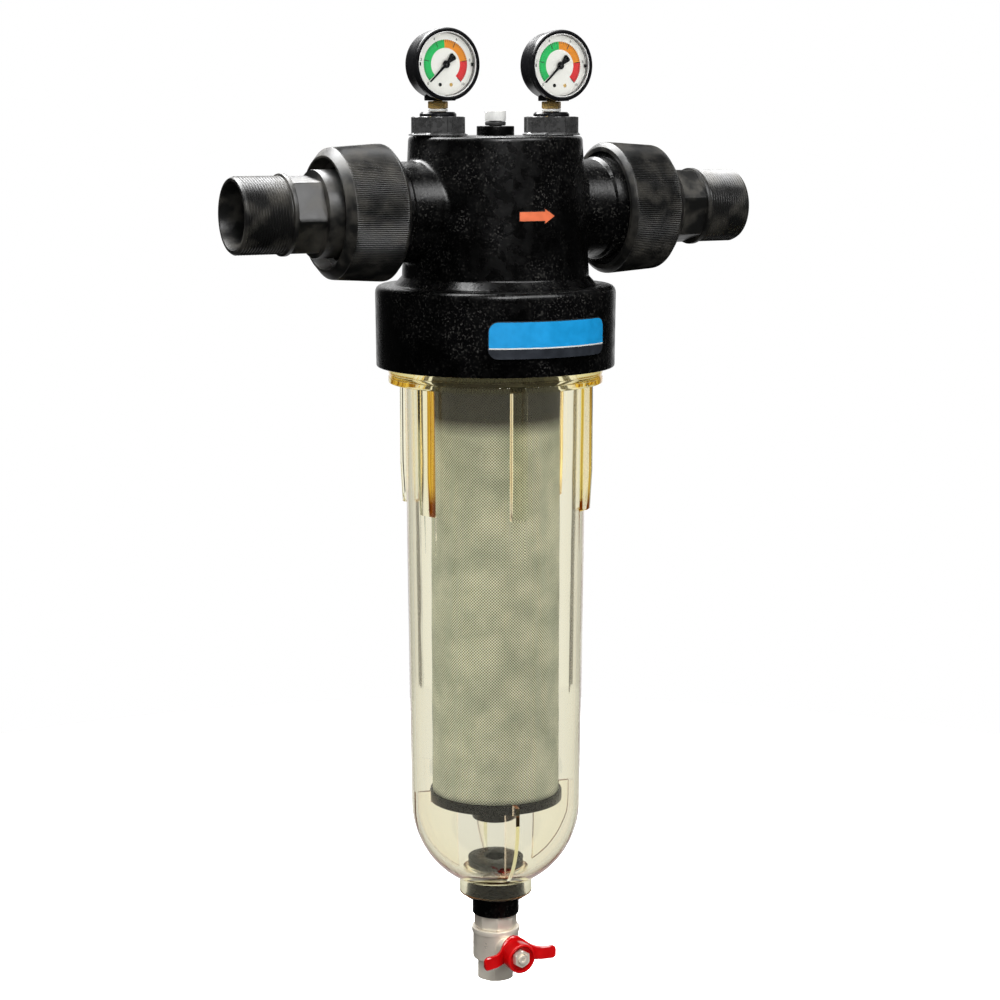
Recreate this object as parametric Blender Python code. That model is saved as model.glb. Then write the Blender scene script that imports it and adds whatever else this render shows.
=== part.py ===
"""A sediment filter for a two-inch water main, as an assembly of separate pieces.

A moulded head sits in the pipe run on two unions. A clear bowl screws into its skirt and holds a
woven sleeve on a cage. Two pressure gauges and a vent stand on the head, and a ball valve drains
the bowl. The origin is where the pipe's axis (X, water flowing towards +X) crosses the bowl's
axis (Z). The gauges face -Y. Sizes below are in millimetres.
"""

import math

import bmesh
import bpy
from mathutils import Vector

MM = 0.001

# Fit between pieces
SEAT_GAP = 0.3
RUN_GAP = 1.0
SMALL_RUN_GAP = 0.35
SEAL_CORNER_SHARE = 0.28

# Number of sides of a turned piece, by its size
LARGE_SIDES = 28
PIPE_SIDES = 20
SMALL_SIDES = 12
TINY_SIDES = 8
NUT_SIDES = 6

# Head
HEAD_TOP_Z = 59.0
HEAD_TOP_R = 69.4
HEAD_TOP_ROUND = 4.0
HEAD_FOOT_Z = -52.0
HEAD_FOOT_R = 75.3
HEAD_WALL = 10.0
SKIRT_TOP_Z = -59.0
SKIRT_FOOT_Z = -124.4
SKIRT_WALL = 13.4
SKIRT_DRAFT = 0.6
SKIRT_SHOULDER = 6.5
SKIRT_EDGE = 1.8
SKIRT_CEILING = 12.0
OUTLET_TUBE_WALL = 5.0
SOCKET_R = 30.0
SOCKET_WALL = 5.5
SOCKET_FOOT_Z = -78.0

# Unions, measured along the pipe from the bowl's axis
PIPE_BORE_R = 26.0
STUB_R = 39.4
STUB_RING_R = 41.6
STUB_RING_X = 89.0
UNION_THREAD_R = 45.2
UNION_THREAD_LENGTH = 18.0
STUB_END_X = 118.0
UNION_SEAL_R = 35.0
UNION_SEAL_WIDTH = 3.6
UNION_SEAL_DEPTH = 3.0
NUT_HEAD_END_X = 98.0
NUT_LENGTH = 52.0
NUT_HEAD_R = 53.5
NUT_TAIL_R = 50.7
NUT_HEAD_CHAMFER = 4.0
NUT_TAIL_CHAMFER = 6.2
NUT_LIP_WIDTH = 7.7
NUT_LIP_CLEARANCE = 1.6
NUT_RIM_WALL = 1.6

# Threaded nipples
NIPPLE_BORE_R = 24.0
NIPPLE_MOUTH_FLARE = 2.0
NIPPLE_FLANGE_WIDTH = 11.7
NIPPLE_COLLAR_R = 34.0
NIPPLE_COLLAR_WIDTH = 29.0
NIPPLE_HEX_FLATS = 55.0
NIPPLE_HEX_WIDTH = 24.0
NIPPLE_STOP_R = 31.6
NIPPLE_STOP_WIDTH = 3.5
NIPPLE_THREAD_R = 29.8
NIPPLE_THREAD_LENGTH = 38.9
NIPPLE_END_CHAMFER = 1.6
INLET_HEX_TURN = math.radians(22.5)
OUTLET_HEX_TURN = math.radians(15.5)

# Flow arrow and blank badge on the front
ARROW_LENGTH = 30.0
ARROW_HEAD_LENGTH = 8.6
ARROW_HEAD_HEIGHT = 11.0
ARROW_SHAFT_HEIGHT = 7.0
ARROW_THICKNESS = 0.8
ARROW_ALONG = -1.9
ARROW_Z = -2.0
BADGE_LENGTH = 106.5
BADGE_HEIGHT = 29.0
BADGE_CORNER_R = 8.0
BADGE_THICKNESS = 1.2
BADGE_STEPS = 8
BADGE_CORNER_STEPS = 4
BADGE_Z = -95.0

# Gauge ports on the head's top
GAUGE_X = 51.0
BOSS_R = 18.0
BOSS_HEIGHT = 7.0
BOSS_BORE_R = 9.0
ADAPTER_FLANGE_R = 16.6
ADAPTER_FLANGE_WIDTH = 3.6
ADAPTER_NECK_R = 14.5
ADAPTER_TOP_Z = 77.6
ADAPTER_CHAMFER = 1.6
ADAPTER_SPIGOT_LENGTH = 14.0
CAP_NUT_TOP_Z = 74.0
CAP_NUT_CORNER_R = 22.0
CAP_NUT_FLAT_STEP = 1.0
CAP_NUT_RIB_ANGLE = math.radians(8.0)
CAP_NUT_RIB_SLOPE = math.radians(1.2)
CAP_NUT_FLATS = 8
INLET_CAP_TURN = math.radians(43.5)
OUTLET_CAP_TURN = math.radians(8.0)
CAP_NUT_LIP_R = 23.4
CAP_NUT_LIP_HEIGHT = 1.8
WASHER_R = 7.6
WASHER_HEIGHT = 2.0

# Gauges, with depths measured forwards from the stem
GAUGE_Z = 114.0
GAUGE_R = 28.0
GAUGE_CASE_R = 26.4
GAUGE_FRONT = 18.0
GAUGE_BACK = 5.0
GAUGE_BEZEL_WIDTH = 6.0
GAUGE_WALL = 1.8
WINDOW_R = 24.8
WINDOW_THICKNESS = 1.4
WINDOW_DEPTH = 0.8
DIAL_R = 23.6
DIAL_THICKNESS = 0.8
DIAL_DEPTH = 4.8
DIAL_HOLE_R = 1.8
POINTER_DEPTH = 2.7
POINTER_THICKNESS = 0.8
POINTER_LENGTH = 18.9
POINTER_TAIL_LENGTH = 9.6
POINTER_HUB_R = 3.0
POINTER_TIP_HALF = 0.35
POINTER_ROOT_HALF = 0.8
POINTER_TAIL_HALF = 3.1
POINTER_TAIL_ROUND = 1.4
POINTER_ARBOR_R = 1.0
POINTER_ZERO = math.radians(225.0)
GAUGE_BLOCK_WIDTH = 20.5
GAUGE_BLOCK_DEPTH = 8.0
GAUGE_BLOCK_DROP = 27.8
STEM_THREAD_R = 6.3
STEM_HEX_FLATS = 14.0
STEM_HEX_TURN = math.radians(-14.0)
STEM_NECK_R = 3.6
STEM_BORE_R = 1.6
SOCKET_BLOCK_SIZE = 5.6
SOCKET_BLOCK_TOP = -9.0
MOVEMENT_R = 10.6
MOVEMENT_THICKNESS = 3.0
BOURDON_R = 17.5
BOURDON_TUBE_R = 1.5
BOURDON_SWEEP = math.radians(250.0)
BOURDON_STEPS = 12

# Vent
VENT_BUSH_R = 15.0
VENT_BUSH_TOP_Z = 66.6
VENT_SPIGOT_R = 9.0
VENT_SHANK_R = 5.0
VENT_SHANK_LENGTH = 16.0
VENT_RING_HEIGHT = 3.4
VENT_CAP_R = 8.4
VENT_CAP_HEIGHT = 8.2
VENT_SLOT_WIDTH = 2.4
VENT_SLOT_DEPTH = 2.2

# Clear bowl
BOWL_NECK_R = 83.6
BOWL_NECK_TOP_Z = -80.0
BOWL_NECK_WALL = 12.0
BOWL_FLANGE_RISE = 3.2
BOWL_FLANGE_TOP_Z = -125.0
BOWL_FLANGE_HEIGHT = 12.5
BOWL_LIP_HEIGHT = 4.6
BOWL_GROOVE_DEPTH = 0.8
BOWL_SHOULDER = 10.0
BOWL_DRAFT = 3.4
BOWL_WALL_FOOT_Z = -490.0
BOWL_WALL = 4.6
BOWL_DOME_DEPTH = 66.0
BOWL_DOME_STEPS = 5
SPIGOT_R = 30.6
SPIGOT_HEIGHT = 13.0
BOWL_RIB_COUNT = 6
BOWL_RIB_WIDTH = 13.0
BOWL_RIB_RISE = 6.6
BOWL_RIB_DRAFT_Z = -207.0
BOWL_RIB_FOOT_Z = -239.5
BOWL_RIB_DRAFT = 1.8
BOWL_RIB_TURN = math.radians(-14.0)
FOOT_RIB_COUNT = 4
FOOT_RIB_WIDTH = 3.0
FOOT_RIB_INNER_R = 33.0
FOOT_RIB_LIP_HEIGHT = 9.0
FOOT_RIB_TURN = math.radians(-12.5)
BOWL_SEAL_WIDTH = 4.4
BOWL_SEAL_DEPTH = 3.1
BOWL_SEAL_DROP = 5.0

# Filter element
SLEEVE_CLEARANCE = 12.6
SLEEVE_WALL = 1.0
SLEEVE_TOP_Z = -104.0
CAGE_WALL = 2.4
CAGE_SIDES_PER_RIB = 4
CAGE_WINDOW_ROWS = 3
CAGE_BAND = 7.0
COLLAR_PLUG_BORE_R = 26.0
COLLAR_PLUG_TOP_Z = -62.0
COLLAR_FLANGE_Z = -96.0
COLLAR_FLANGE_WIDTH = 4.0
COLLAR_FOOT_Z = -178.0
FOOT_TOP_Z = -479.0
FOOT_RIM = 2.3
FOOT_THICKNESS = 7.5
FOOT_BOSS_R = 19.7
FOOT_BOSS_DROP = 25.0
FOOT_BOSS_HOLLOW_R = 15.0
CLIP_THICKNESS = 1.8
CLIP_HEIGHT = 6.0
CLIP_TOP_Z = -110.0
VANE_BLADES = 8
VANE_RING_WIDTH = 3.0
VANE_BLADE_LENGTH = 10.0
VANE_TIP_CLEARANCE = 4.6
VANE_BLADE_THICKNESS = 2.0
VANE_BLADE_CHORD = 16.0
VANE_PITCH = math.radians(40.0)

# Drain adapter
ADAPTER_THREAD_R = 24.0
ADAPTER_TOP_DISC_Z = -541.0
ADAPTER_BODY_R = 19.7
ADAPTER_BODY_FOOT_Z = -588.0
ADAPTER_BORE_R = 9.0
ADAPTER_TAIL_R = 12.6
ADAPTER_TAIL_LENGTH = 9.0
DRAIN_GASKET_R = 26.4
DRAIN_GASKET_HEIGHT = 1.6

# Ball valve
VALVE_Z = -615.0
VALVE_RIM_R = 20.2
VALVE_RIM_TOP_Z = -600.5
VALVE_RIM_HEIGHT = 4.0
VALVE_BODY_R = 19.3
VALVE_WAIST_Z = -628.0
VALVE_FOOT_Z = -645.0
VALVE_HEX_FLATS = 29.6
VALVE_END_FLATS = 33.4
VALVE_END_SIDES = 8
VALVE_END_THREAD_R = 16.0
VALVE_MOUTH_R = 13.0
VALVE_MOUTH_DEPTH = 11.0
VALVE_MOUTH_FLARE = 1.0
BALL_R = 12.4
BALL_BORE_R = 7.6
BALL_RINGS = 6
BALL_SLOT_DEPTH = 2.6
SEAT_RIM = 0.8
SEAT_FACE_WIDTH = 1.4
SEAT_THICKNESS = 4.1
VALVE_BOSS_R = 9.6
VALVE_BOSS_END = 27.5
STEM_R = 5.0
STUD_R = 4.0
STEM_END = 49.3
STEM_RING_AT = 22.0
STEM_RING_WIDTH = 2.4
STEM_RING_DEPTH = 1.1
TANG_THICKNESS = 3.0

# Butterfly handle, with depths measured forwards from the bowl's axis
HUB_R = 12.6
HUB_BACK = 30.0
HUB_FRONT = 47.0
HUB_RECESS_R = 10.8
HUB_RECESS_DEPTH = 4.5
WING_THICKNESS = 3.4
WING_SPAN = 33.2
WING_TIP_FORWARD = 43.4
WING_HEIGHT = 11.0
WING_CREST = 15.4
WING_CREST_X = 2.7
WING_ROOT_X = 8.3
WING_BEND_X = 14.0
WING_PAD_X = 21.2
WING_TIP_ROUND = 2.0
WING_WEB_DROP = 7.7
WING_ROOT_RISE = 11.6
WING_BEND_FORWARD = 5.0
WING_PAD_SLOPE = 2.0
HANDLE_NUT_FLATS = 13.0
HANDLE_NUT_HEIGHT = 5.0


def bore_for(shaft_r, gap, sides):
    """The corner radius of a faceted hole whose flats clear a turning shaft by the gap."""
    return (shaft_r + gap) / math.cos(math.pi / sides)


# Worked-out places that several pieces share
SKIRT_R = BOWL_NECK_R + SKIRT_WALL
BOWL_FLANGE_R = BOWL_NECK_R + BOWL_FLANGE_RISE
BOWL_WALL_TOP_R = BOWL_NECK_R - BOWL_SHOULDER
BOWL_WALL_FOOT_R = BOWL_WALL_TOP_R - BOWL_DRAFT
BOWL_RIB_R = BOWL_WALL_TOP_R + BOWL_RIB_RISE
BOWL_RIB_FOOT_R = BOWL_RIB_R - BOWL_RIB_DRAFT
SLEEVE_R = BOWL_WALL_FOOT_R - BOWL_WALL - SLEEVE_CLEARANCE
FOOT_R = SLEEVE_R + FOOT_RIM
VANE_TIP_R = BOWL_NECK_R - BOWL_NECK_WALL - VANE_TIP_CLEARANCE
VANE_RING_R = VANE_TIP_R - VANE_BLADE_LENGTH
SKIRT_BORE_R = bore_for(BOWL_NECK_R, RUN_GAP / 2, LARGE_SIDES)
NUT_BORE_R = bore_for(UNION_THREAD_R, RUN_GAP / 2, PIPE_SIDES)
STEM_HOLE_R = bore_for(STEM_R, SMALL_RUN_GAP, SMALL_SIDES)
UNION_FACE_X = STUB_END_X + SEAT_GAP
SEAT_R = BALL_R + SEAT_RIM
SEAT_BORE_R = BALL_BORE_R + SEAT_RIM


def seat_height(radius):
    """How far from the ball's centre the seat's face lies at a radius."""
    return math.sqrt((BALL_R + SEAT_GAP) ** 2 - radius**2)


SEAT_NEAR = seat_height(SEAT_BORE_R + SEAT_FACE_WIDTH)
SEAT_FAR = SEAT_NEAR + SEAT_THICKNESS
FLANGE_BACK_X = UNION_FACE_X + NIPPLE_FLANGE_WIDTH
NUT_END_X = NUT_HEAD_END_X + NUT_LENGTH
BOSS_TOP_Z = HEAD_TOP_Z + BOSS_HEIGHT
VENT_RING_Z = VENT_BUSH_TOP_Z + SEAT_GAP
VENT_CAP_Z = VENT_RING_Z + VENT_RING_HEIGHT + SEAT_GAP
WASHER_Z = ADAPTER_TOP_Z + SEAT_GAP
STEM_HEX_Z = WASHER_Z + WASHER_HEIGHT + SEAT_GAP
GAUGE_BLOCK_Z = GAUGE_Z - GAUGE_BLOCK_DROP
CASE_INSIDE_R = DIAL_R - GAUGE_WALL
SPIGOT_TOP_Z = BOWL_WALL_FOOT_Z - BOWL_DOME_DEPTH
SPIGOT_FOOT_Z = SPIGOT_TOP_Z - SPIGOT_HEIGHT
FOOT_Z = FOOT_TOP_Z - FOOT_THICKNESS
CAGE_R = SLEEVE_R - SLEEVE_WALL - 2 * SEAT_GAP
COLLAR_PLUG_R = SOCKET_R - 2 * SEAT_GAP
VALVE_END_TOP_Z = ADAPTER_BODY_FOOT_Z - SEAT_GAP
HUB_FLOOR = HUB_FRONT - HUB_RECESS_DEPTH

FACING_FRONT = (math.pi / 2, 0.0, 0.0)
TOWARDS_INLET = (0.0, -math.pi / 2, 0.0)
TOWARDS_OUTLET = (0.0, math.pi / 2, 0.0)
HALF_SIDE = (0.0, 0.0, math.pi / PIPE_SIDES)


def clear_scene():
    for obj in list(bpy.data.objects):
        bpy.data.objects.remove(obj, do_unlink=True)


def finish_of(name, colour, roughness, metallic=0.0, transmission=0.0):
    """One Principled material, made the first time that it is asked for."""
    found = bpy.data.materials.get(name)
    if found:
        return found
    made = bpy.data.materials.new(name)
    made.use_nodes = True
    made.diffuse_color = (*colour, 1.0)
    shader = made.node_tree.nodes["Principled BSDF"]
    shader.inputs["Base Color"].default_value = (*colour, 1.0)
    shader.inputs["Roughness"].default_value = roughness
    shader.inputs["Metallic"].default_value = metallic
    shader.inputs["Transmission Weight"].default_value = transmission
    return made


def black_moulding():
    return finish_of("black_moulding", (0.012, 0.012, 0.013), 0.34)


def black_rubber():
    return finish_of("black_rubber", (0.02, 0.02, 0.02), 0.7)


def black_enamel():
    return finish_of("black_enamel", (0.01, 0.01, 0.011), 0.22)


def white_plastic():
    return finish_of("white_plastic", (0.85, 0.85, 0.83), 0.35)


def pale_plastic():
    return finish_of("pale_plastic", (0.62, 0.63, 0.56), 0.45)


def clear_amber():
    return finish_of("clear_amber", (0.95, 0.9, 0.68), 0.04, transmission=0.9)


def clear_window():
    return finish_of("clear_window", (0.95, 0.96, 0.96), 0.03, transmission=0.95)


def brass():
    return finish_of("brass", (0.62, 0.42, 0.14), 0.3, metallic=1.0)


def nickel():
    return finish_of("nickel", (0.62, 0.57, 0.52), 0.28, metallic=1.0)


def red_lacquer():
    return finish_of("red_lacquer", (0.62, 0.015, 0.02), 0.25)


def orange_print():
    return finish_of("orange_print", (0.95, 0.2, 0.05), 0.4)


def blue_print():
    return finish_of("blue_print", (0.02, 0.22, 0.65), 0.25)


def woven_mesh():
    return finish_of("woven_mesh", (0.4, 0.42, 0.34), 0.75)


def add_object(name, mesh, finish, at=(0.0, 0.0, 0.0), turn=(0.0, 0.0, 0.0)):
    """Turns a bmesh into a named object, placed in millimetres and radians."""
    bmesh.ops.recalc_face_normals(mesh, faces=mesh.faces)
    data = bpy.data.meshes.new(name)
    mesh.to_mesh(data)
    mesh.free()
    data.shade_smooth()
    data.set_sharp_from_angle(angle=math.radians(35.0))
    obj = bpy.data.objects.new(name, data)
    bpy.context.scene.collection.objects.link(obj)
    obj.location = Vector(at) * MM
    obj.rotation_euler = turn
    if finish:
        data.materials.append(finish)
    return obj


def turned_mesh(profile, sides):
    """A closed outline of (radius, height) points, spun once about Z."""
    mesh = bmesh.new()
    points = [mesh.verts.new((r * MM, 0.0, z * MM)) for r, z in profile]
    edges = [mesh.edges.new(pair) for pair in zip(points, points[1:] + points[:1])]
    bmesh.ops.spin(
        mesh,
        geom=points + edges,
        cent=(0.0, 0.0, 0.0),
        axis=(0.0, 0.0, 1.0),
        angle=math.tau,
        steps=sides,
        use_merge=True,
    )
    bmesh.ops.remove_doubles(mesh, verts=mesh.verts, dist=1e-6)
    loose = [edge for edge in mesh.edges if not edge.link_faces]
    bmesh.ops.delete(mesh, geom=loose, context="EDGES")
    return mesh


def turned(name, profile, sides, finish=None, at=(0.0, 0.0, 0.0), turn=(0.0, 0.0, 0.0)):
    return add_object(name, turned_mesh(profile, sides), finish, at, turn)


def ring(name, inner_r, outer_r, low, high, sides, finish=None, at=(0.0, 0.0, 0.0), turn=(0.0, 0.0, 0.0)):
    """A plain turned ring, or a disc where inner_r is 0."""
    outline = [(inner_r, low), (outer_r, low), (outer_r, high), (inner_r, high)]
    return turned(name, outline, sides, finish, at, turn)


def seal_profile(inner_r, outer_r, low, high):
    """The section of a rubber ring, with the corners of its outer side taken off."""
    corner = min(outer_r - inner_r, high - low) * SEAL_CORNER_SHARE
    return [
        (inner_r, low),
        (outer_r - corner, low),
        (outer_r, low + corner),
        (outer_r, high - corner),
        (outer_r - corner, high),
        (inner_r, high),
    ]


def prism_mesh(outline, low, high):
    """A flat outline of (x, y) points, extruded from low to high along Z."""
    mesh = bmesh.new()
    floor = mesh.faces.new([mesh.verts.new((x * MM, y * MM, low * MM)) for x, y in outline])
    lifted = bmesh.ops.extrude_face_region(mesh, geom=[floor])["geom"]
    corners = [item for item in lifted if isinstance(item, bmesh.types.BMVert)]
    bmesh.ops.translate(mesh, verts=corners, vec=(0.0, 0.0, (high - low) * MM))
    return mesh


def prism(name, outline, low, high, finish=None, at=(0.0, 0.0, 0.0), turn=(0.0, 0.0, 0.0)):
    return add_object(name, prism_mesh(outline, low, high), finish, at, turn)


def polygon(sides, flats, turn=0.0):
    """A regular outline, given by the distance across its flats."""
    corner_r = flats / 2 / math.cos(math.pi / sides)
    angles = [turn + math.tau * step / sides for step in range(sides)]
    return [(corner_r * math.cos(angle), corner_r * math.sin(angle)) for angle in angles]


def lofted_mesh(sections):
    """Closed sections with the same number of points, skinned in order and capped."""
    mesh = bmesh.new()
    loops = [[mesh.verts.new(Vector(point) * MM) for point in section] for section in sections]
    for before, after in zip(loops, loops[1:]):
        for i, corner in enumerate(before):
            following = (i + 1) % len(before)
            mesh.faces.new((corner, before[following], after[following], after[i]))
    mesh.faces.new(loops[0])
    mesh.faces.new(loops[-1])
    bmesh.ops.remove_doubles(mesh, verts=mesh.verts, dist=1e-6)
    bmesh.ops.dissolve_degenerate(mesh, edges=mesh.edges, dist=1e-6)
    return mesh


def wrapped(name, columns, inner_r, thickness, finish, at):
    """A plate wrapped round Z at the front, from (arc length, low, high) columns."""
    sections = []
    for along, low, high in columns:
        angle = along / inner_r
        section = []
        for radius, height in (
            (inner_r, low),
            (inner_r + thickness, low),
            (inner_r + thickness, high),
            (inner_r, high),
        ):
            section.append((radius * math.sin(angle), -radius * math.cos(angle), height))
        sections.append(section)
    return add_object(name, lofted_mesh(sections), finish, at)


def fins_mesh(outline, width, count, first_turn):
    """Radial fins, each a (radius, height) outline made width thick, spaced round Z."""
    mesh = bmesh.new()
    for step in range(count):
        angle = first_turn + math.tau * step / count - math.pi / 2
        outwards = Vector((math.cos(angle), math.sin(angle), 0.0))
        sideways = Vector((-outwards.y, outwards.x, 0.0)) * (width / 2)
        faces = []
        for side in (-1, 1):
            corners = [outwards * r + Vector((0.0, 0.0, z)) + sideways * side for r, z in outline]
            faces.append([mesh.verts.new(corner * MM) for corner in corners])
        mesh.faces.new(faces[0])
        mesh.faces.new(faces[1])
        for i, corner in enumerate(faces[0]):
            following = (i + 1) % len(outline)
            mesh.faces.new((corner, faces[0][following], faces[1][following], faces[1][i]))
    return mesh


def combine(body, tool, operation):
    """Cuts a helper from a body, or joins it on, with an exact Boolean."""
    modifier = body.modifiers.new(tool.name, "BOOLEAN")
    modifier.operation = operation
    modifier.object = tool
    tool.hide_render = True
    tool.display_type = "WIRE"


def cut(body, tool):
    combine(body, tool, "DIFFERENCE")


def join(body, tool):
    combine(body, tool, "UNION")


def head_radius(height):
    """The head's drafted outer radius at a height."""
    span = HEAD_TOP_Z - HEAD_TOP_ROUND - HEAD_FOOT_Z
    share = (HEAD_TOP_Z - HEAD_TOP_ROUND - height) / span
    return HEAD_TOP_R + (HEAD_FOOT_R - HEAD_TOP_R) * share


def rounded_corner(radius, height, rounding):
    """The three points of a round on an upper outside corner."""
    points = []
    for step in range(3):
        angle = math.pi / 4 * step
        points.append(
            (radius - rounding * (1 - math.sin(angle)), height - rounding * (1 - math.cos(angle)))
        )
    return points


def head_profile():
    return [
        (0.0, HEAD_TOP_Z),
        *rounded_corner(HEAD_TOP_R, HEAD_TOP_Z, HEAD_TOP_ROUND),
        (HEAD_FOOT_R, HEAD_FOOT_Z),
        (HEAD_FOOT_R + SKIRT_EDGE, (HEAD_FOOT_Z + SKIRT_TOP_Z) / 2),
        (HEAD_FOOT_R + SKIRT_SHOULDER, SKIRT_TOP_Z),
        *rounded_corner(SKIRT_R, SKIRT_TOP_Z, SKIRT_SHOULDER),
        (SKIRT_R - SKIRT_DRAFT, SKIRT_FOOT_Z + SKIRT_EDGE),
        (SKIRT_R - SKIRT_DRAFT - SKIRT_EDGE, SKIRT_FOOT_Z),
        (0.0, SKIRT_FOOT_Z),
    ]


def head_cavity_profile():
    """The inlet chamber above and the bore that takes the bowl's neck below."""
    chamber_r = HEAD_TOP_R - HEAD_WALL
    ceiling = HEAD_TOP_Z - HEAD_WALL
    bore_top = SKIRT_TOP_Z - SKIRT_CEILING
    return [
        (0.0, ceiling),
        (chamber_r - HEAD_TOP_ROUND, ceiling),
        (chamber_r, ceiling - HEAD_TOP_ROUND),
        (chamber_r, bore_top + SKIRT_CEILING / 2),
        (SKIRT_BORE_R, bore_top),
        (SKIRT_BORE_R, SKIRT_FOOT_Z - RUN_GAP),
        (0.0, SKIRT_FOOT_Z - RUN_GAP),
    ]


def stub_profile():
    """One pipe stub outside, from inside the chamber to the union's face."""
    thread_start = STUB_END_X - UNION_THREAD_LENGTH
    start = SOCKET_R + SOCKET_WALL
    return [
        (0.0, start),
        (STUB_R, start),
        (STUB_R, STUB_RING_X),
        (STUB_RING_R, STUB_RING_X + (STUB_RING_R - STUB_R)),
        (STUB_RING_R, thread_start),
        (UNION_THREAD_R, thread_start),
        (UNION_THREAD_R, STUB_END_X),
        (0.0, STUB_END_X),
    ]


def make_head():
    """The moulded head: drafted body and skirt, two stubs, the inlet chamber and the outlet elbow."""
    head = turned("head_housing", head_profile(), LARGE_SIDES, black_moulding())
    join(head, turned("inlet_stub_shape", stub_profile(), PIPE_SIDES, turn=TOWARDS_INLET))
    join(head, turned("outlet_stub_shape", stub_profile(), PIPE_SIDES, turn=TOWARDS_OUTLET))
    cut(head, turned("head_cavity", head_cavity_profile(), LARGE_SIDES))
    wall_middle = HEAD_TOP_Z - HEAD_WALL / 2
    tube_r = PIPE_BORE_R + OUTLET_TUBE_WALL
    tube_end = HEAD_TOP_R - HEAD_WALL / 3
    socket_r = SOCKET_R + SOCKET_WALL
    socket_top = tube_r + RUN_GAP
    join(head, ring("socket_shape", 0.0, socket_r, SOCKET_FOOT_Z, socket_top, PIPE_SIDES, turn=HALF_SIDE))
    join(head, ring("outlet_tube_shape", 0.0, tube_r, 0.0, tube_end, PIPE_SIDES, turn=TOWARDS_OUTLET))
    column_r = BOSS_BORE_R + SKIRT_EDGE * 2
    outlet_port = (GAUGE_X, 0.0, 0.0)
    inlet_port = (-GAUGE_X, 0.0, 0.0)
    join(head, ring("outlet_column_shape", 0.0, column_r, RUN_GAP, wall_middle, SMALL_SIDES, at=outlet_port))
    for word, port in (("inlet", inlet_port), ("outlet", outlet_port)):
        join(head, ring(word + "_boss_shape", 0.0, BOSS_R, wall_middle, BOSS_TOP_Z, SMALL_SIDES, at=port))
    port_top = BOSS_TOP_Z + RUN_GAP
    port_low = HEAD_TOP_Z - 2 * HEAD_WALL
    for word, port, low in (("inlet", inlet_port, port_low), ("outlet", outlet_port, 0.0)):
        outline = [(0.0, low), (BOSS_BORE_R, low), (BOSS_BORE_R, port_top), (0.0, port_top)]
        cut(head, turned(word + "_gauge_bore", outline, SMALL_SIDES, at=port, turn=HALF_SIDE))
    vent_hole_r = VENT_SPIGOT_R + SEAT_GAP
    cut(head, ring("vent_hole", 0.0, vent_hole_r, port_low, HEAD_TOP_Z + RUN_GAP, SMALL_SIDES))
    reach = STUB_END_X + RUN_GAP
    bore_start = socket_r + RUN_GAP
    elbow_start = RUN_GAP - SOCKET_R / 2
    cut(head, ring("inlet_bore", 0.0, PIPE_BORE_R, bore_start, reach, PIPE_SIDES, turn=TOWARDS_INLET))
    cut(head, ring("outlet_bore", 0.0, PIPE_BORE_R, elbow_start, reach, PIPE_SIDES, turn=TOWARDS_OUTLET))
    socket_low = SOCKET_FOOT_Z - RUN_GAP
    cut(head, ring("socket_bore", 0.0, SOCKET_R, socket_low, PIPE_BORE_R / 2, PIPE_SIDES, turn=HALF_SIDE))


def make_arrow():
    """The flow arrow, pointing towards the outlet."""
    half = ARROW_LENGTH / 2
    barb = half - ARROW_HEAD_LENGTH
    shaft = ARROW_SHAFT_HEIGHT / 2
    head = ARROW_HEAD_HEIGHT / 2
    outline = [
        (-half, shaft),
        ((barb - half) / 2, shaft),
        (barb, shaft),
        (barb + SEAT_GAP, head),
        (half, SEAT_GAP),
    ]
    columns = [(ARROW_ALONG + along, -tall, tall) for along, tall in outline]
    inner_r = max(head_radius(ARROW_Z - head), head_radius(ARROW_Z + head)) + SEAT_GAP
    wrapped("flow_arrow", columns, inner_r, ARROW_THICKNESS, orange_print(), (0.0, 0.0, ARROW_Z))


def make_badge():
    """The rounded badge on the skirt, left bare."""
    half = BADGE_LENGTH / 2
    tall = BADGE_HEIGHT / 2
    columns = []
    for step in range(BADGE_CORNER_STEPS + 1):
        angle = math.pi / 2 * step / BADGE_CORNER_STEPS
        drop = BADGE_CORNER_R * (1 - math.sin(angle))
        columns.append((-half + BADGE_CORNER_R * (1 - math.cos(angle)), -tall + drop, tall - drop))
    mirrored = [(-along, low, high) for along, low, high in reversed(columns)]
    straight = half - BADGE_CORNER_R
    shares = [2 * step / BADGE_STEPS - 1 for step in range(1, BADGE_STEPS)]
    middle = [(straight * share, -tall, tall) for share in shares]
    wrapped(
        "name_plate",
        columns + middle + mirrored,
        SKIRT_R + SEAT_GAP,
        BADGE_THICKNESS,
        blue_print(),
        (0.0, 0.0, BADGE_Z),
    )


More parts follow.
